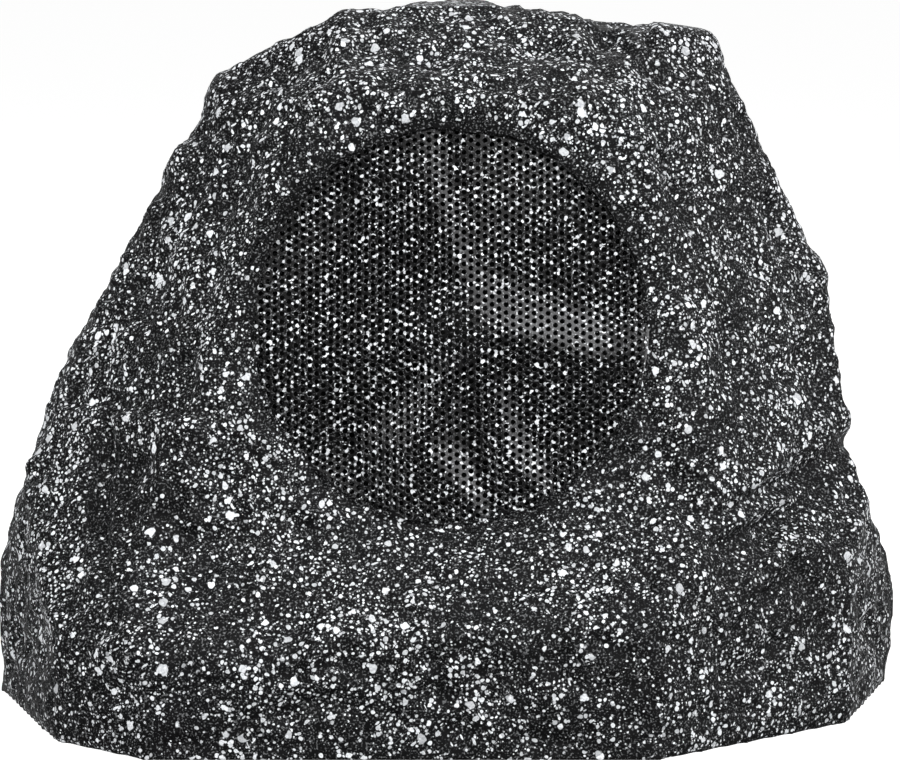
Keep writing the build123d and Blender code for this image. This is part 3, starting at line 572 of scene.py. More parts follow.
@dataclass(frozen=True)
class SpatteredPaint:
    """Charcoal paint with thrown pale drops, on the casting and the grille, and a painted highlight on
    faces turned to the lamps.
    """

    name: str
    ground_dark: Colour = (0.0010, 0.0010, 0.0011)
    ground_light: Colour = (0.0046, 0.0046, 0.0049)
    # Painted highlight: a paler ground on faces turned towards the lamps, in place of their light and
    # reflection.
    painted_highlight: Colour = (0.0060, 0.0060, 0.0063)
    highlight_from: Triple = (0.35, -0.77, 0.53)
    highlight_facing: Pair = (0.6, 1.0)
    drop_light: Colour = (0.66, 0.675, 0.695)
    drop_dull: Colour = (0.40, 0.415, 0.44)
    dull_where: Pair = (0.35, 0.55)
    dull_share: Pair = (0.7, 0.0)
    throws: tuple[Spatter, ...] = (
        Spatter(1.65, 0.28, 0.62, 0.84, (0.11, 0.03, 0.07)),
        Spatter(2.4, 0.52, 1.10, 0.82, (0.37, 0.19, 0.05)),
        Spatter(6.0, 1.10, 2.15, 0.44, (0.71, 0.53, 0.29)),
        Spatter(2.4, 0.28, 0.58, 0.50, (0.23, 0.61, 0.83), (1.0, 1.0, 3.4), (20.0, 52.0, 0.0)),
        Spatter(2.6, 0.28, 0.58, 0.48, (0.93, 0.41, 0.13), (1.0, 1.0, 3.0), (-15.0, -28.0, 0.0)),
    )
    ragged: float = 2.6 * MM
    ragged_shift: Triple = (0.05, 0.31, 0.77)
    raggedness: float = 1.3
    dust: float = 0.8 * MM
    dust_where: Pair = (0.56, 0.70)
    dust_share: float = 0.16
    patch: float = 34.0 * MM
    patch_where: Pair = (0.36, 0.64)
    patch_density: Pair = (0.55, 1.45)
    weathered: bool = True
    relief_where: Pair = (0.1, 0.9)
    relief_density: Pair = (0.45, 1.35)
    grain: float = 1.4 * MM
    grain_where: Pair = (0.36, 0.72)
    grain_depth: float = 0.3 * MM
    roughness: float = 0.6
    sheen_level: float = 0.02

    def density(self, recipe: Recipe, reach: NodeSocket) -> NodeSocket:
        """How thickly the drops lie: in patches, more on what stands out, and fewer under the lip as
        painted shade.

        Args:
            recipe: Material that it goes into.
            reach: Socket of the share of a point left outside the lip's painted shade.

        Returns:
            The density's socket.
        """
        clouds = recipe.noise(self.patch, 3.0)
        density = recipe.mapped(clouds.outputs["Fac"], self.patch_where, self.patch_density)
        if self.weathered:
            raised = recipe.mapped(recipe.attribute("relief"), self.relief_where, self.relief_density)
            density = recipe.maths("MULTIPLY", density, raised)
        return recipe.maths("MULTIPLY", density, reach)

    def build(self) -> Material:
        """Makes the material.

        Returns:
            The material.
        """
        recipe = Recipe(self.name)
        # Painted shade under the mouth's upper lip: fewer drops and no painted highlight there.
        reach = recipe.attribute("lip_unshaded")
        density = self.density(recipe, reach)
        grain = recipe.noise(self.grain, 3.0).outputs["Fac"]
        light = recipe.mapped(grain, self.grain_where)
        ground = recipe.blend(light, self.ground_dark, self.ground_light)
        # Painted highlight: faces turned one way get a paler ground, held back under the lip's painted
        # shade.
        highlit = recipe.mapped(recipe.facing(self.highlight_from), self.highlight_facing, smooth=True)
        ground = recipe.blend(recipe.maths("MULTIPLY", highlit, reach), ground, self.painted_highlight)
        bends = recipe.noise(self.ragged, 1.0, recipe.shifted(self.ragged_shift))
        ragged = recipe.vector("SUBTRACT", bends.outputs["Color"], (0.5, 0.5, 0.5))
        dust = recipe.noise(self.dust, 1.0).outputs["Fac"]
        mask = recipe.mapped(dust, self.dust_where, (0.0, self.dust_share))
        for throw in self.throws:
            mask = recipe.maths("MAXIMUM", mask, throw.mask(recipe, ragged, self.raggedness, density))
        dull = recipe.mapped(dust, self.dull_where, self.dull_share)
        drop = recipe.blend(dull, self.drop_light, self.drop_dull)
        looks = {
            "Base Color": recipe.blend(mask, ground, drop),
            "Roughness": self.roughness,
            "Specular IOR Level": self.sheen_level,
        }
        recipe.feed(recipe.surface, looks)
        recipe.bump(grain, self.grain_depth)
        return recipe.material


class Grain(Enum):
    """What the surface of a plainly coloured piece shows close up."""

    MOULDED = "moulded"
    BRUSHED = "brushed"
    FIBROUS = "fibrous"
    WOUND = "wound"
    WOVEN = "woven"


NOISE_LAYERS = {Grain.MOULDED: 3.0, Grain.BRUSHED: 4.0, Grain.FIBROUS: 8.0}


@dataclass(frozen=True)
class Finish:
    """A coloured finish with its grain, sizes in millimetres, and the CAD nodes that wear it."""

    name: str
    colour: Colour
    second: Colour
    grain: Grain
    size: float
    roughness: float
    depth: float = 0.02
    metallic: float = 0.0
    sheen_level: float = 0.03
    nodes: str = ""
    brushed: Triple = (1.0, 12.0, 1.0)
    fibre_bend: float = 3.0
    band: float = 0.314
    winding_sway: float = 0.6
    colour_where: Pair = (0.3, 0.7)
    wear_where: Pair = (0.2, 0.8)
    wear: float = 0.08

    def bands(self, recipe: Recipe, direction: str, sway: float = 0.0) -> NodeSocket:
        """Even bands across a direction, as a mask from 0 to 1.

        Args:
            recipe: Material that it goes into.
            direction: Axis across the bands.
            sway: How far the bands sway.

        Returns:
            The mask's socket.
        """
        inputs = {"Vector": recipe.place, "Scale": self.band / (self.size * MM), "Distortion": sway}
        kind = {"wave_type": "BANDS", "bands_direction": direction}
        return recipe.add("ShaderNodeTexWave", inputs, **kind).outputs["Fac"]

    def pattern(self, recipe: Recipe) -> NodeSocket:
        """The grain as a mask from 0 to 1.

        Args:
            recipe: Material that it goes into.

        Returns:
            The mask's socket.
        """
        if self.grain is Grain.WOUND:
            return self.bands(recipe, "Z", self.winding_sway)
        if self.grain is Grain.WOVEN:
            return recipe.maths("MAXIMUM", self.bands(recipe, "Z"), self.bands(recipe, "X"))
        size = self.size * MM
        place = recipe.place
        if self.grain is Grain.BRUSHED:
            place = recipe.shifted(ORIGIN, self.brushed)
        elif self.grain is Grain.FIBROUS:
            bent = recipe.noise(self.fibre_bend * size, 2.0).outputs["Color"]
            place = recipe.vector("MULTIPLY_ADD", bent, (size,) * 3, recipe.place)
        return recipe.noise(size, NOISE_LAYERS[self.grain], place).outputs["Fac"]

    @cache
    def build(self) -> Material:
        """Makes the material, once.

        Returns:
            The material.
        """
        recipe = Recipe(self.name)
        pattern = self.pattern(recipe)
        share = recipe.mapped(pattern, self.colour_where)
        rough = (self.roughness - self.wear, self.roughness + self.wear)
        looks = {
            "Base Color": recipe.blend(share, self.colour, self.second),
            "Roughness": recipe.mapped(pattern, self.wear_where, rough),
            "Metallic": self.metallic,
            "Specular IOR Level": self.sheen_level,
        }
        recipe.feed(recipe.surface, looks)
        recipe.bump(pattern, self.depth * MM)
        return recipe.material


# The rock casting


class Mark(Enum):
    """How a carved mark shapes the rock across its line."""

    CRACK = "crack"
    HOLLOW = "hollow"
    SWELLING = "swelling"
    LEDGE = "ledge"


@dataclass(frozen=True)
class Carving:
    """A mark along a line of the picture in pixels, with its width and depth in millimetres."""

    name: str
    mark: Mark
    line: tuple[Pair, ...]
    width: float
    depth: float
    crack_fall: float = 1.4
    ledge_step: float = 0.22

    def offsets(self, picture: np.ndarray, pixel: float) -> np.ndarray:
        """How far the mark moves each point out of the rock.

        Args:
            picture: Rows of pixels across and down, one for each point.
            pixel: Size of a pixel on the rock.

        Returns:
            Moves along the surface's normal, in metres.
        """
        log.info("carving %s", self.name)
        width = self.width * MM
        depth = self.depth * MM
        best = np.full(len(picture), np.inf)
        side = np.zeros(len(picture))
        ends = list(zip(self.line, self.line[1:])) or [(self.line[0], self.line[0])]
        for start, end in ends:
            first = np.array(start)
            run = np.array(end) - first
            offset = picture - first
            share = np.clip(offset @ run / max(run @ run, TINY), 0.0, 1.0)
            apart = offset - share[:, None] * run
            distance = np.hypot(apart[:, 0], apart[:, 1])
            nearer = distance < best
            cross = offset[:, 0] * run[1] - offset[:, 1] * run[0]
            side = np.where(nearer, cross / max(np.hypot(*run), TINY), side)
            best = np.where(nearer, distance, best)
        reach = best * pixel / width
        if self.mark is Mark.CRACK:
            return -depth * np.clip(1.0 - reach, 0.0, 1.0) ** self.crack_fall
        swell = depth * np.exp(-reach * reach)
        if self.mark is Mark.LEDGE:
            return swell * np.tanh(side * pixel / (self.ledge_step * width))
        return swell if self.mark is Mark.SWELLING else -swell


@dataclass(frozen=True)
class Lumps:
    """One size of lumps in the rock's relief."""

    size: float
    height: float
    ridged: bool = False
    ridge_top: float = 0.55
    ridge_fall: float = 1.8

    def at(self, point: Vector) -> float:
        """Height of the lumps at a point.

        Args:
            point: Place on the rock, in metres.

        Returns:
            Height, in metres.
        """
        value = noise.noise(point / self.size)
        if self.ridged:
            value = self.ridge_top - self.ridge_fall * abs(value)
        return self.height * value


@dataclass(frozen=True)
class LipWave:
    """One wave of the uneven edge over the grille's rim."""

    pace: float
    layer: float
    part: float


@dataclass
class RockCasting:
    """The hollow cast rock: hewn faces, ledges, cracks, and the driver's mouth."""

    voxel: float = 2.0 * MM
    rounding: int = 4
    easing: float = 0.5
    mouth_radius: float = 75.3 * MM
    mouth_depth: float = 31.0 * MM
    mouth_sides: int = 96
    plug_overlap: float = 3.0 * MM
    base_plug_height: float = 20.0 * MM
    tool_overrun: float = 12.0 * MM
    lip_width: float = 9.0 * MM
    lip_drop_top: float = 0.8 * MM
    lip_drop_bottom: float = 3.6 * MM
    lip_height: float = -2.4 * MM
    lip_reach: float = 2.4 * MM
    lip_sides: int = 144
    lip_mean: float = 0.4
    lip_waves: tuple[LipWave, ...] = (LipWave(5.0, 0.0, 1.0), LipWave(14.0, 3.0, 0.5))
    quiet_foot: float = 9.0 * MM
    sole_facing: float = -0.9
    seen_facing: Pair = (-0.35, 0.05)
    thinnest: float = 2.0 * MM
    deepest: float = 4.5 * MM
    proudest: float = 3.0 * MM
    sharp: float = 50.0
    lumps: tuple[Lumps, ...] = (
        Lumps(16.0 * MM, 1.9 * MM, ridged=True),
        Lumps(9.0 * MM, 1.5 * MM),
        Lumps(4.8 * MM, 1.0 * MM),
    )
    carvings: tuple[Carving, ...] = (
        Carving("left_cleft", Mark.CRACK, ((109, 428), (97, 512), (102, 556), (109, 592)), 4.5, 4.2),
        Carving("left_hollow", Mark.HOLLOW, ((128, 495), (165, 530), (196, 575)), 17.0, 2.8),
        Carving("left_shelf", Mark.LEDGE, ((192, 418), (90, 408)), 10.0, 1.8),
        Carving("right_overhang", Mark.LEDGE, ((735, 500), (790, 468), (840, 436)), 9.0, 3.2),
        Carving("right_fold", Mark.LEDGE, ((714, 541), (760, 520), (802, 499)), 8.0, 2.0),
        Carving("right_low_fold", Mark.LEDGE, ((745, 612), (770, 584), (796, 556)), 8.0, 1.6),
        Carving("right_hollow", Mark.HOLLOW, ((742, 520), (800, 600)), 17.0, 1.6),
        Carving("left_top_tooth", Mark.SWELLING, ((222, 92),), 8.0, 2.6),
        Carving("left_top_notch", Mark.HOLLOW, ((196, 128),), 8.0, 2.2),
        Carving("left_mid_tooth", Mark.SWELLING, ((172, 160),), 8.0, 2.8),
        Carving("crest_bump_left", Mark.SWELLING, ((345, 20),), 6.0, 2.2),
        Carving("crest_bump", Mark.SWELLING, ((418, 4),), 6.0, 2.2),
        Carving("crest_bump_right", Mark.SWELLING, ((462, 3),), 6.0, 2.2),
        Carving("crest_dip", Mark.HOLLOW, ((615, 38),), 12.0, 2.8),
        Carving("crest_knob", Mark.SWELLING, ((665, 32), (700, 34)), 11.0, 2.8),
        Carving("knob_split", Mark.CRACK, ((647, 32), (652, 56)), 2.4, 2.4),
        Carving("right_ledge", Mark.SWELLING, ((818, 268),), 8.0, 2.6),
        Carving("front_low_left", Mark.SWELLING, ((205, 704), (281, 697), (358, 690)), 5.0, 2.2),
        Carving("front_low", Mark.SWELLING, ((420, 675), (488, 685), (555, 697)), 5.0, 2.4),
        Carving("crest_crease", Mark.LEDGE, ((262, 68), (312, 48)), 7.0, 1.6),
        Carving("crest_crease_two", Mark.LEDGE, ((338, 52), (388, 38)), 7.0, 1.4),
    )
    paint: SpatteredPaint = SpatteredPaint("rock_paint")

    def mouth_plug(self) -> Object:
        """A round plug that closes the driver's mouth level with the baffle.

        Returns:
            The plug.
        """
        middle = BAFFLE.place() @ Matrix.Translation((0.0, 0.0, -self.mouth_depth / 2))
        radius = self.mouth_radius + self.plug_overlap
        bm = cylinder(radius, self.mouth_depth, self.mouth_sides, middle)
        return piece_from_bmesh("mouth_plug", bm)

    def base_plug(self) -> Object:
        """A slab that closes the underside, a little wider than the base plate.

        Returns:
            The slab.
        """
        plate = merged_copy("base_plate")
        spots = [corner.co.to_2d() for corner in plate.verts]
        plate.free()
        low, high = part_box("base_plate")
        middle = (low + high) / 2
        bm = bmesh.new()
        sole = bm.faces.new([bm.verts.new((*spots[i], 0.0)) for i in convex_hull_2d(spots)])
        raised = bmesh.ops.extrude_face_region(bm, geom=[sole])["geom"]
        top = [item for item in raised if isinstance(item, BMVert)]
        bmesh.ops.translate(bm, verts=top, vec=(0.0, 0.0, self.base_plug_height))
        grown = [1.0 + 2.0 * self.plug_overlap / side for side in (high - low)[:2]]
        about = Matrix.Translation((-middle.x, -middle.y, 0.0))
        bmesh.ops.scale(bm, verts=bm.verts, vec=(*grown, 1.0), space=about)
        bmesh.ops.recalc_face_normals(bm, faces=bm.faces)
        return piece_from_bmesh("base_plug", bm)

    def filled_form(self, shell: Object) -> Object:
        """The casting with its mouth, underside and hollow filled.

        Args:
            shell: The casting's own closed form.

        Returns:
            The filled form.
        """
        form = new_piece("filled_form", shell.data.copy())
        for plug in (self.mouth_plug(), self.base_plug()):
            carve(form, plug, Cut.ADD)
            discard(plug)
        bm = opened(form.data)
        outside = island_of(max(bm.verts, key=lambda corner: corner.co.z))
        inside = [corner for corner in bm.verts if corner not in outside]
        bmesh.ops.delete(bm, geom=inside, context="VERTS")
        write_back(bm, form.data)
        return form

    def core(self, form: Object, shell: Object) -> Object:
        """All that is hollow in the casting, up to its lip and out past its underside.

        Args:
            form: The filled form.
            shell: The casting's own closed form.

        Returns:
            The core.
        """
        core = new_piece("core", form.data.copy())
        carve(core, shell, Cut.REMOVE)
        bm = opened(core.data)
        to_baffle = BAFFLE.place().inverted()
        face = []
        floor = []
        for corner in bm.verts:
            local = to_baffle @ corner.co
            if abs(local.z) < LEVEL and local.xy.length < self.mouth_radius + self.plug_overlap:
                face.append(corner)
            elif corner.co.z < LEVEL:
                floor.append(corner)
        out = BAFFLE.place().to_3x3() @ Vector(UP)
        bmesh.ops.translate(bm, verts=face, vec=out * self.lip_height)
        bmesh.ops.translate(bm, verts=floor, vec=(0.0, 0.0, -self.tool_overrun))
        write_back(bm, core.data)
        return core

    def lip_tool(self) -> Object:
        """What is cut through the mouth's lip, with an uneven edge over the grille's rim.

        Returns:
            The tool.
        """
        depth = self.tool_overrun - 2.0 * self.lip_height
        middle = Matrix.Translation((0.0, 0.0, depth / 2 + 1.5 * self.lip_height))
        bm = cylinder(self.mouth_radius, depth, self.lip_sides, middle)
        for corner in bm.verts:
            around = corner.co.xy.normalized()
            share = self.lip_mean
            for wave in self.lip_waves:
                share += wave.part * noise.noise(Vector((*around, wave.layer)) * wave.pace)
            corner.co.xy = around * (self.mouth_radius - self.lip_reach * min(max(share, 0.0), 1.0))
        bmesh.ops.transform(bm, matrix=BAFFLE.place(), verts=bm.verts)
        return piece_from_bmesh("lip_tool", bm)

    def blank(self, form: Object) -> Object:
        """The filled form in fine even faces, with its hewn edges eased.

        Args:
            form: The filled form.

        Returns:
            The blank that is weathered.
        """
        blank = new_piece("rock", form.data.copy())
        remesh = blank.modifiers.new("even", "REMESH")
        remesh.mode = "VOXEL"
        remesh.voxel_size = self.voxel
        ease = blank.modifiers.new("ease", "SMOOTH")
        ease.factor = self.easing
        ease.iterations = self.rounding
        settle(blank)
        return blank

    def lip(self, points: np.ndarray) -> np.ndarray:
        """How far the rock falls away around the driver's mouth.

        Args:
            points: Places on the rock.

        Returns:
            Moves along the surface's normal, in metres.
        """
        local = BAFFLE.local(points)
        radius = np.hypot(local[:, 0], local[:, 1])
        low = 0.5 - 0.5 * local[:, 1] / np.maximum(radius, TINY)
        drop = self.lip_drop_top + (self.lip_drop_bottom - self.lip_drop_top) * low
        near = 1.0 - np.clip((radius - self.mouth_radius) / self.lip_width, 0.0, 1.0)
        return np.where(local[:, 2] > -self.mouth_depth, -drop * near * near, 0.0)

    def relief(self, points: np.ndarray, normals: np.ndarray) -> np.ndarray:
        """The rock's relief: lumps, carved marks and the mouth's lip.

        Args:
            points: Places on the blank.
            normals: Directions out of it.

        Returns:
            Moves along the normals, in metres.
        """
        total = np.zeros(len(points))
        for lumps in self.lumps:
            total += np.array([lumps.at(Vector(point)) for point in points])
        facing = smooth_between(*self.seen_facing, normals @ np.array(VIEW.back()))
        picture = VIEW.picture(points)
        for carving in self.carvings:
            total += facing * carving.offsets(picture, VIEW.pixel)
        return np.clip(total, -self.deepest, self.proudest) + self.lip(points)

    def spare(self, points: np.ndarray, normals: np.ndarray, core: Object) -> np.ndarray:
        """How deep each point can be carved before the wall behind it gets too thin.

        Args:
            points: Places on the blank.
            normals: Directions out of it.
            core: The hollow behind the wall.

        Returns:
            Depths, in metres.
        """
        bm = opened(core.data)
        hollow = BVHTree.FromBMesh(bm)
        bm.free()
        depths = np.full(len(points), self.deepest)
        for i, (point, normal) in enumerate(zip(points, normals)):
            distance = hollow.ray_cast(Vector(point), -Vector(normal), self.deepest + self.thinnest)[3]
            if distance is not None:
                depths[i] = distance - self.thinnest
        return depths

    def weather(self, blank: Object, core: Object) -> None:
        """Moves the blank's faces into the rock's relief, inside the casting's box.

        Args:
            blank: The blank.
            core: The hollow behind the wall.
        """
        mesh = blank.data
        points = rows_of(mesh, "co")
        normals = rows_of(mesh, "normal")
        relief = np.maximum(self.relief(points, normals), -self.spare(points, normals, core))
        calm = smooth_between(0.0, self.quiet_foot, points[:, 2])
        low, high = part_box("rock_shell")
        moved = np.clip(points + normals * (relief * calm)[:, None], np.array(low), np.array(high))
        sole = (normals[:, 2] < self.sole_facing) & (points[:, 2] < self.quiet_foot)
        moved[sole, 2] = low.z
        mesh.vertices.foreach_set("co", moved.astype(np.float32).ravel())
        note_shares(mesh, "relief", np.clip(0.5 + relief / (2.0 * self.proudest), 0.0, 1.0))
        mesh.update()
        # Painted shade under the mouth's upper lip, noted for the paint.
        LIP_SHADE.mark(mesh)

    @staticmethod
    def clear_strays(mesh: Mesh) -> None:
        """Takes out the doubled slivers that carving leaves, and what they leave loose.

        Args:
            mesh: Mesh of the carved casting.
        """
        mesh.validate()
        bm = opened(mesh)
        stray = [face for face in bm.faces if all(edge.is_boundary for edge in face.edges)]
        bmesh.ops.delete(bm, geom=stray, context="FACES")
        write_back(bm, mesh)

    def build(self) -> Object:
        """Casts the rock and dresses it.

        Returns:
            The rock.
        """
        shell = piece_from_bmesh("shell", merged_copy("rock_shell"))
        form = self.filled_form(shell)
        core = self.core(form, shell)
        lip_tool = self.lip_tool()
        rock = self.blank(form)
        self.weather(rock, core)
        for tool in (core, lip_tool):
            carve(rock, tool, Cut.REMOVE)
        for tool in (shell, form, core, lip_tool):
            discard(tool)
        self.clear_strays(rock.data)
        dress(rock, self.paint.build(), self.sharp)
        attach(rock, HOUSING)
        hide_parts("rock_shell")
        return rock


# The grille


@dataclass(frozen=True)
class Fold:
    """A fold of the grille's sheet, from its hub outwards in millimetres and on to an angle at the rim."""

    angle: float
    length: float
    height: float
    rim_angle: float


@dataclass
class PunchedGrille:
    """A round cap of folded sheet, punched in staggered columns, with a turned-down rim."""

    radius: float = 75.0 * MM
    sheet: float = 1.0 * MM
    sink: float = 3.0 * MM
    seat: float = 10.0 * MM
    overrun: float = 12.0 * MM
    pitch: float = 3.05 * MM
    hole: float = 2.05 * MM
    trim_sides: int = 90
    rim_band: float = 0.9 * MM
    rim_lap: float = 0.4 * MM
    rim_ease: float = 0.45 * MM
    rim_steps: int = 180
    ease_radius: float = 2.4 * MM
    ease_rings: Pair = (1.0, 2.0)
    sharp: float = 35.0
    hub: Triple = (10.0 * MM, 0.0, 9.5 * MM)
    folds: tuple[Fold, ...] = (
        Fold(-15.0, 48.7, 8.5, -12.5),
        Fold(4.8, 48.2, -3.0, 4.0),
        Fold(92.5, 23.0, 5.0, 50.0),
        Fold(99.8, 55.8, 1.0, 89.0),
        Fold(107.4, 54.5, 4.5, 97.0),
        Fold(134.2, 62.7, -2.5, 124.0),
        Fold(171.7, 65.5, -0.5, 164.0),
        Fold(189.8, 50.7, 6.0, 183.0),
        Fold(220.9, 63.0, -3.5, 222.0),
        Fold(243.4, 51.4, 11.0, 255.8),
        Fold(270.0, 46.0, 1.0, 284.0),
        Fold(278.7, 46.5, 7.5, 287.4),
        Fold(299.5, 52.8, 0.0, 300.0),
    )
    paint: SpatteredPaint = SpatteredPaint(
        "grille_paint",
        ground_dark=(0.0014, 0.0014, 0.0015),
        ground_light=(0.0036, 0.0036, 0.0038),
        # Painted highlight: facets turned right and up are painted grey, in place of the lamps' reflection
        # in the sheet.
        painted_highlight=(0.074, 0.074, 0.076),
        highlight_from=(0.80, 0.125, 0.587),
        highlight_facing=(0.15, 0.45),
        throws=(
            Spatter(1.8, 0.28, 0.62, 0.80, (0.11, 0.03, 0.07)),
            Spatter(2.4, 0.48, 0.92, 0.84, (0.37, 0.19, 0.05)),
            Spatter(3.6, 0.66, 1.15, 0.60, (0.71, 0.53, 0.29)),
        ),
        patch_density=(0.8, 1.5),
        weathered=False,
        grain_depth=0.04 * MM,
        roughness=0.34,
        sheen_level=0.05,
    )

    def fold_form(self) -> BVHTree:
        """The folded face as flats between the hub, the folds' ends and the rim.

        Returns:
            The flats, ready to be measured.
        """
        bm = bmesh.new()
        hub = bm.verts.new(self.hub)
        ends = []
        rims = []
        for fold in self.folds:
            foot = Vector((self.hub[0], self.hub[1], fold.height * MM))
            ray, rim_ray = (bearing(math.radians(angle)) for angle in (fold.angle, fold.rim_angle))
            ends.append(bm.verts.new(foot + ray * (fold.length * MM)))
            rims.append(bm.verts.new(rim_ray * (self.radius + self.overrun)))
        for i in range(len(ends)):
            bm.faces.new((hub, ends[i - 1], ends[i]))
            bm.faces.new((ends[i - 1], rims[i - 1], rims[i]))
            bm.faces.new((ends[i - 1], rims[i], ends[i]))
        form = BVHTree.FromBMesh(bm)
        bm.free()
        return form

    def height(self, form: BVHTree, across: float, up: float) -> float:
        """Height of the sheet's face, with its creases eased.

        Args:
            form: The folded face.
            across: Place to the right of the grille's middle.
            up: Place above it.

        Returns:
            Height over the baffle's face.
        """
        total = 0.0
        steps = [Vector(ORIGIN)]
        for sixth in range(6):
            turn = Matrix.Rotation(math.radians(60.0 * sixth), 3, "Z")
            steps += [turn @ Vector((ring, 0.0, 0.0)) for ring in self.ease_rings]
        for step in steps:
            above = Vector((across, up, 2.0 * self.seat)) + step * self.ease_radius
            hit = form.ray_cast(above, -Vector(UP))[0]
            total += hit.z if hit else 0.0
        return total / len(steps) - self.sink

    def punched_sheet(self) -> BMesh:
        """A flat punched sheet, wider than the grille.

        Returns:
            The sheet, one face thick.
        """
        bm = bmesh.new()
        twelfth = math.radians(30.0)
        corner = self.pitch / math.sqrt(3.0)
        turn = Matrix.Rotation(twelfth, 4, "Z")
        bmesh.ops.create_circle(bm, cap_ends=True, segments=6, radius=corner, matrix=turn)
        flat = self.pitch / 2 - self.hole / 2 * math.cos(twelfth)
        bmesh.ops.inset_individual(bm, faces=bm.faces[:], thickness=flat, use_even_offset=True)
        hexagons = [face for face in bm.faces if len(face.verts) == 6]
        middle = min(hexagons, key=lambda face: face.calc_area())
        rim = list(middle.edges)
        bmesh.ops.delete(bm, geom=[middle], context="FACES_ONLY")
        halved = bmesh.ops.subdivide_edges(bm, edges=rim, cuts=1)
        for vert in (item for item in halved["geom_inner"] if isinstance(item, BMVert)):
            vert.co *= self.hole / 2 / vert.co.length
        column = self.pitch * math.sqrt(3.0) / 2
        rows = 2 * int(self.radius / self.pitch) + 3
        pairs = int(self.radius / column) + 2
        low = Vector((-(pairs - 1) * column, -(rows - 1) / 2 * self.pitch, 0.0))
        bmesh.ops.translate(bm, verts=bm.verts, vec=low)
        self.repeat(bm, Vector((0.0, self.pitch, 0.0)), rows - 1)
        beside = bmesh.ops.duplicate(bm, geom=bm.verts[:] + bm.edges[:] + bm.faces[:])
        moved = [item for item in beside["geom"] if isinstance(item, BMVert)]
        bmesh.ops.translate(bm, verts=moved, vec=(column, self.pitch / 2, 0.0))
        self.repeat(bm, Vector((2.0 * column, 0.0, 0.0)), pairs - 1)
        bmesh.ops.remove_doubles(bm, verts=bm.verts, dist=LEVEL)
        return bm

    @staticmethod
    def repeat(bm: BMesh, step: Vector, times: int) -> None:
        """Repeats all of a mesh in a straight row.

        Args:
            bm: Mesh that is repeated.
            step: Way from one copy to the next.
            times: Number of copies.
        """
        everything = bm.verts[:] + bm.edges[:] + bm.faces[:]
        row = {"dvec": step, "angle": 0.0, "steps": times, "use_duplicate": True}
        bmesh.ops.spin(bm, geom=everything, cent=ORIGIN, axis=UP, **row)

    def trim(self, bm: BMesh, radius: float) -> None:
        """Cuts a flat sheet to a round outline by straight cuts.

        Args:
            bm: Sheet that is cut.
            radius: Radius of the outline.
        """
        limit = radius - 2.0 * self.pitch
        for i in range(self.trim_sides):
            out = bearing(2.0 * math.pi * i / self.trim_sides)
            near = [face for face in bm.faces if face.calc_center_median().dot(out) > limit]
            edges = {edge for face in near for edge in face.edges}
            verts = {vert for face in near for vert in face.verts}
            plane = {"plane_co": out * radius, "plane_no": out, "dist": MERGE}
            bmesh.ops.bisect_plane(bm, geom=[*verts, *edges, *near], clear_outer=True, **plane)

    def face(self, form: BVHTree) -> Object:
        """The punched and folded face of the grille.

        Args:
            form: The folded face.

        Returns:
            The face, with its thickness.
        """
        bm = self.punched_sheet()
        self.trim(bm, self.radius - self.rim_band)
        for vert in bm.verts:
            vert.co.z = self.height(form, vert.co.x, vert.co.y)
        face_outward(bm)
        face = piece_from_bmesh("grille_face", bm)
        thicken(face, self.sheet, -1.0)
        return face

    def rim(self, form: BVHTree) -> BMesh:
        """The turned-down rim that stands on the casting's ledge.

        Args:
            form: The folded face.

        Returns:
            The rim.
        """
        bm = bmesh.new()
        inner = self.radius - self.sheet
        band = self.radius - self.rim_band - self.rim_lap
        ease = self.rim_ease
        foot = self.sink - self.seat
        outline = (
            (band, 0.0),
            (self.radius - ease, 0.0),
            (self.radius - 0.3 * ease, -0.3 * ease),
            (self.radius, -ease),
            (self.radius, foot),
            (inner, foot),
            (inner, -self.sheet),
            (band, -self.sheet),
        )
        verts = [bm.verts.new((radius, 0.0, height)) for radius, height in outline]
        edges = [bm.edges.new((verts[i - 1], verts[i])) for i in range(len(verts))]
        turn = {"angle": 2.0 * math.pi, "steps": self.rim_steps, "use_merge": True}
        bmesh.ops.spin(bm, geom=verts + edges, cent=ORIGIN, axis=UP, **turn)
        bmesh.ops.recalc_face_normals(bm, faces=bm.faces)
        for vert in bm.verts:
            if vert.co.z > foot + LEVEL:
                vert.co.z += self.height(form, vert.co.x, vert.co.y)
            else:
                vert.co.z = -self.seat
        return bm

    def build(self) -> Object:
        """Makes the grille and dresses it.

        Returns:
            The grille.
        """
        form = self.fold_form()
        face = self.face(form)
        bm = self.rim(form)
        bm.from_mesh(face.data)
        discard(face)
        bmesh.ops.transform(bm, matrix=BAFFLE.place(), verts=bm.verts)
        grille = piece_from_bmesh("punched_grille", bm)
        # Painted shade under the mouth's upper lip, noted for the paint.
        LIP_SHADE.mark(grille.data)
        dress(grille, self.paint.build(), self.sharp)
        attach(grille, HOUSING)
        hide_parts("grille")
        return grille


# Everything else keeps its CAD form and gets its finish

# Short names of the grains, for the rows below
MOULDED, BRUSHED, FIBROUS, WOUND, WOVEN = Grain
RUBBER = Finish("black_rubber", (0.002,) * 3, (0.005,) * 3, MOULDED, 0.9, 0.7, nodes="cable_grommet")
CLOTH = Finish("spider_cloth", (0.42, 0.30, 0.10), (0.58, 0.44, 0.18), WOVEN, 0.7, 0.8, 0.08)


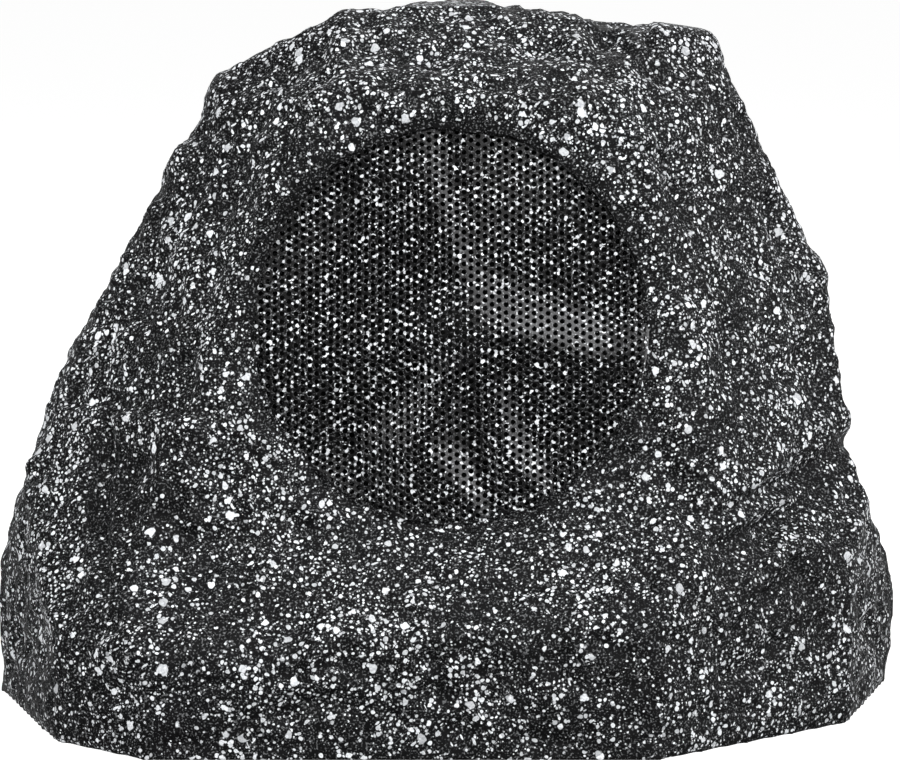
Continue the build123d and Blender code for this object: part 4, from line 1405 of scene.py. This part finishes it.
@dataclass
class Innards:
    """The driver, tweeter, crossover and base, which keep their CAD forms."""

    finishes: tuple[Finish, ...] = (
        RUBBER,
        Finish(
            "base_plastic", (0.006, 0.006, 0.007), (0.012, 0.012, 0.013), MOULDED, 1.2, 0.55, 0.05,
            nodes="base_plate tweeter_post tweeter_housing tweeter_ring tweeter_face",
        ),
        Finish(
            "seal_foam", (0.005,) * 3, (0.012,) * 3, MOULDED, 0.6, 0.9, 0.2,
            nodes="base_gasket woofer_gasket",
        ),
        Finish(
            "screw_steel", (0.40, 0.39, 0.37), (0.52, 0.51, 0.49), BRUSHED, 0.8, 0.38, 0.01, 1.0,
            nodes="base_screws crossover_screws",
        ),
        Finish(
            "black_screw", (0.006,) * 3, (0.012, 0.012, 0.013), BRUSHED, 0.8, 0.42, 0.01,
            nodes="woofer_screws",
        ),
        Finish("basket_paint", (0.002,) * 3, (0.005,) * 3, MOULDED, 0.7, 0.5, nodes="basket"),
        Finish("cone_pulp", (0.002,) * 3, (0.006,) * 3, FIBROUS, 1.5, 0.85, 0.1, nodes="cone"),
        Finish(
            "former_foil", (0.62, 0.62, 0.63), (0.72, 0.72, 0.73), BRUSHED, 0.5, 0.3, 0.01, 1.0,
            nodes="coil_former",
        ),
        Finish(
            "copper_wire", (0.50, 0.19, 0.08), (0.72, 0.34, 0.17), WOUND, 0.5, 0.32, 0.08, 1.0,
            nodes="voice_coil inductor",
        ),
        Finish(
            "plated_steel", (0.50, 0.50, 0.48), (0.62, 0.62, 0.60), BRUSHED, 1.0, 0.35, 0.01, 1.0,
            nodes="top_plate yoke tweeter_plate",
        ),
        Finish(
            "ferrite", (0.020, 0.020, 0.021), (0.045, 0.045, 0.046), MOULDED, 1.5, 0.6, 0.05,
            nodes="magnet tweeter_magnet",
        ),
        Finish(
            "fibre_board", (0.20, 0.10, 0.04), (0.30, 0.16, 0.07), FIBROUS, 0.9, 0.7,
            nodes="tag_strip",
        ),
        Finish(
            "tinned_brass", (0.66, 0.63, 0.56), (0.75, 0.72, 0.66), BRUSHED, 0.6, 0.3, 0.01, 1.0,
            nodes="solder_tags",
        ),
        Finish("dome_film", (0.005,) * 3, (0.010,) * 3, WOVEN, 0.4, 0.4, nodes="tweeter_dome"),
        Finish(
            "circuit_board", (0.012, 0.070, 0.026), (0.020, 0.110, 0.042), WOVEN, 1.6, 0.4,
            nodes="crossover_board",
        ),
        Finish(
            "capacitor_film", (0.55, 0.36, 0.04), (0.64, 0.45, 0.07), BRUSHED, 2.0, 0.35,
            nodes="capacitor",
        ),
        Finish(
            "resistor_ceramic", (0.62, 0.60, 0.55), (0.72, 0.70, 0.66), MOULDED, 0.8, 0.8,
            nodes="resistor",
        ),
        Finish(
            "terminal_plastic", (0.03, 0.16, 0.07), (0.04, 0.20, 0.09), MOULDED, 1.0, 0.45,
            nodes="terminal_block",
        ),
        Finish(
            "lead_sheath", (0.014, 0.014, 0.015), (0.024, 0.024, 0.025), MOULDED, 1.0, 0.5,
            nodes="driver_lead",
        ),
    )

    def build(self) -> None:
        """Gives every remaining CAD node its finish."""
        for finish in self.finishes:
            for node in finish.nodes.split():
                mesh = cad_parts[node].data
                mesh.materials.clear()
                mesh.materials.append(finish.build())
                log.info("%s dressed in %s", node, finish.name)


# The ring of rubber and the ring of cloth that let the cone travel


@dataclass(frozen=True)
class BendingRing:
    """A waved ring between the basket, which holds its outer edge, and the moving cone or coil."""

    node: str
    slot: str
    finish: Finish
    inner: float
    outer: float
    wave_inner: float
    wave_outer: float
    level: float
    rise: float
    waves: int
    fullness: float
    sheet: float
    sectors: int = 12
    points: int = 14
    turns: int = 8
    sharp: float = 50.0

    def section(self) -> list[Pair]:
        """Radius and height of the ring's middle line.

        Returns:
            Points from the ring's inner edge to its outer one.
        """
        line = [(self.inner, self.level)]
        count = self.points * self.waves
        for i in range(count + 1):
            share = i / count
            wave = abs(math.sin(math.pi * self.waves * share)) ** self.fullness
            reach = self.wave_inner + (self.wave_outer - self.wave_inner) * share
            line.append((reach, self.level + self.rise * wave))
        return [*line, (self.outer, self.level)]

    def sector(self, number: int) -> Object:
        """One sector of the ring, centred on its own middle bearing.

        Args:
            number: Place of the sector in the ring, from 0.

        Returns:
            The sector.
        """
        half = math.pi / self.sectors
        middle = (2 * number + 1) * half
        bm = bmesh.new()
        line = [bm.verts.new((radius, 0.0, height)) for radius, height in self.section()]
        edges = [bm.edges.new(pair) for pair in zip(line, line[1:])]
        bmesh.ops.rotate(bm, verts=line, matrix=Matrix.Rotation(middle - half, 3, "Z"))
        turn = {"angle": 2.0 * half, "steps": self.turns}
        bmesh.ops.spin(bm, geom=line + edges, cent=ORIGIN, axis=UP, **turn)
        face_outward(bm)
        bmesh.ops.transform(bm, matrix=BAFFLE.place(), verts=bm.verts)
        sector = piece_from_bmesh(f"{self.node}_sector_{number + 1}", bm)
        thicken(sector, self.sheet, 0.0)
        dress(sector, self.finish.build(), self.sharp)
        out = bearing(middle)
        held = BAFFLE.place() @ (out * (self.wave_outer * math.cos(half)))
        moving = BAFFLE.place() @ (out * self.wave_inner)
        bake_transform(sector)
        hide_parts(self.node)
        return sector

    def build(self) -> list[Object]:
        """Makes all sectors of the ring."""
        return [self.sector(number) for number in range(self.sectors)]


@dataclass
class Suspension:
    """The rubber surround at the cone's edge and the cloth spider at the coil."""

    surround: BendingRing = BendingRing(
        "surround",
        "surround_rubber",
        RUBBER,
        inner=44.3 * MM,
        outer=58.0 * MM,
        wave_inner=46.6 * MM,
        wave_outer=55.7 * MM,
        level=-14.05 * MM,
        rise=3.1 * MM,
        waves=1,
        fullness=0.75,
        sheet=0.9 * MM,
    )
    spider: BendingRing = BendingRing(
        "spider",
        "spider_cloth",
        CLOTH,
        inner=13.2 * MM,
        outer=35.4 * MM,
        wave_inner=14.0 * MM,
        wave_outer=33.4 * MM,
        level=-40.1 * MM,
        rise=1.6 * MM,
        waves=2,
        fullness=2.0,
        sheet=0.8 * MM,
    )

    def build(self) -> list[Object]:
        """Makes all sectors of both rings."""
        return self.surround.build() + self.spider.build()


# The studio


@dataclass(frozen=True)
class Softbox:
    """A soft square lamp that faces the rock."""

    name: str
    azimuth: float
    elevation: float
    distance: float
    size: float
    power: float

    def hang(self, aim: Vector) -> None:
        """Puts the lamp in place.

        Args:
            aim: Pair that it faces.
        """
        lamp = bpy.data.lights.new(self.name, "AREA")
        lamp.size = self.size
        lamp.energy = self.power
        holder = bpy.data.objects.new(self.name, lamp)
        side = math.radians(self.azimuth)
        lift = math.radians(self.elevation)
        level = math.cos(lift)
        out = Vector((math.sin(side) * level, -math.cos(side) * level, math.sin(lift)))
        holder.location = aim + out * self.distance
        holder.rotation_euler = out.to_track_quat("Z", "Y").to_euler()
        bpy.context.scene.collection.objects.link(holder)


def looked_at(tree: NodeTree) -> NodeSocket:
    """Tells what is seen from what only lights the rock.

    Args:
        tree: Node tree that it goes into.

    Returns:
        Socket that is 1 for what is seen, straight, mirrored or through glass.
    """
    path = tree.nodes.new("ShaderNodeLightPath")
    seen = path.outputs["Is Camera Ray"]
    for way in ("Is Glossy Ray", "Is Transmission Ray"):
        either = tree.nodes.new("ShaderNodeMath")
        either.operation = "MAXIMUM"
        tree.links.new(seen, either.inputs[0])
        tree.links.new(path.outputs[way], either.inputs[1])
        seen = either.outputs[0]
    return seen


@dataclass
class Studio:
    """A pale floor, soft lamps, a white background and the camera."""

    floor_reach: float = 6.0
    floor_grey: float = 0.30
    floor_roughness: float = 0.9
    floor_lift: float = 0.92
    fill: float = 0.18
    lamps: tuple[Softbox, ...] = (
        Softbox("key", 12.0, 32.0, 1.35, 0.60, 18.5),
        Softbox("left", -62.0, 24.0, 1.5, 0.8, 21.0),
        Softbox("right", 66.0, 24.0, 1.5, 0.8, 19.0),
        Softbox("rim", 165.0, 45.0, 1.4, 0.6, 8.0),
    )

    def world(self) -> None:
        """Makes a dim world that shows white."""
        world = bpy.data.worlds.new("white_room")
        world.use_nodes = True
        tree = world.node_tree
        ground = tree.nodes["Background"]
        strength = tree.nodes.new("ShaderNodeMapRange")
        tree.links.new(looked_at(tree), strength.inputs["Value"])
        strength.inputs["To Min"].default_value = self.fill
        strength.inputs["To Max"].default_value = 1.0
        ground.inputs["Color"].default_value = (*WHITE, 1.0)
        tree.links.new(strength.outputs["Result"], ground.inputs["Strength"])
        bpy.context.scene.world = world

    def floor(self) -> None:
        """Lays a pale floor that keeps the rock's shadow."""
        bm = bmesh.new()
        bmesh.ops.create_grid(bm, x_segments=1, y_segments=1, size=self.floor_reach)
        floor = piece_from_bmesh("floor", bm)
        recipe = Recipe("pale_floor")
        looks = {
            "Base Color": (self.floor_grey,) * 3,
            "Roughness": self.floor_roughness,
            "Specular IOR Level": 0.0,
            "Emission Color": WHITE,
            "Emission Strength": recipe.maths("MULTIPLY", looked_at(recipe.tree), self.floor_lift),
        }
        recipe.feed(recipe.surface, looks)
        floor.data.materials.append(recipe.material)

    def camera(self) -> None:
        """Sets up the camera of the photograph."""
        lens = bpy.data.cameras.new("camera")
        lens.sensor_width = VIEW.sensor
        lens.lens = VIEW.lens()
        camera = bpy.data.objects.new("camera", lens)
        camera.location = VIEW.aim() + VIEW.back() * VIEW.distance
        camera.rotation_euler = (math.radians(90.0) - VIEW.elevation, 0.0, 0.0)
        bpy.context.scene.collection.objects.link(camera)
        bpy.context.scene.camera = camera

    def build(self) -> None:
        """Sets up the whole studio."""
        bpy.context.scene.view_settings.view_transform = "Standard"
        self.world()
        self.floor()
        for lamp in self.lamps:
            lamp.hang(VIEW.aim())
        self.camera()


def main() -> None:
    """Builds the rock, the grille, the rings, the finishes of the rest, and the studio."""
    logging.basicConfig(level=logging.INFO)
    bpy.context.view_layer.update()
    for piece in (RockCasting().build(), PunchedGrille().build(), *Suspension().build()):
        log.info("%s: %d faces", piece.name, len(piece.data.polygons))
    Innards().build()
    Studio().build()


if __name__ == "__main__":
    main()
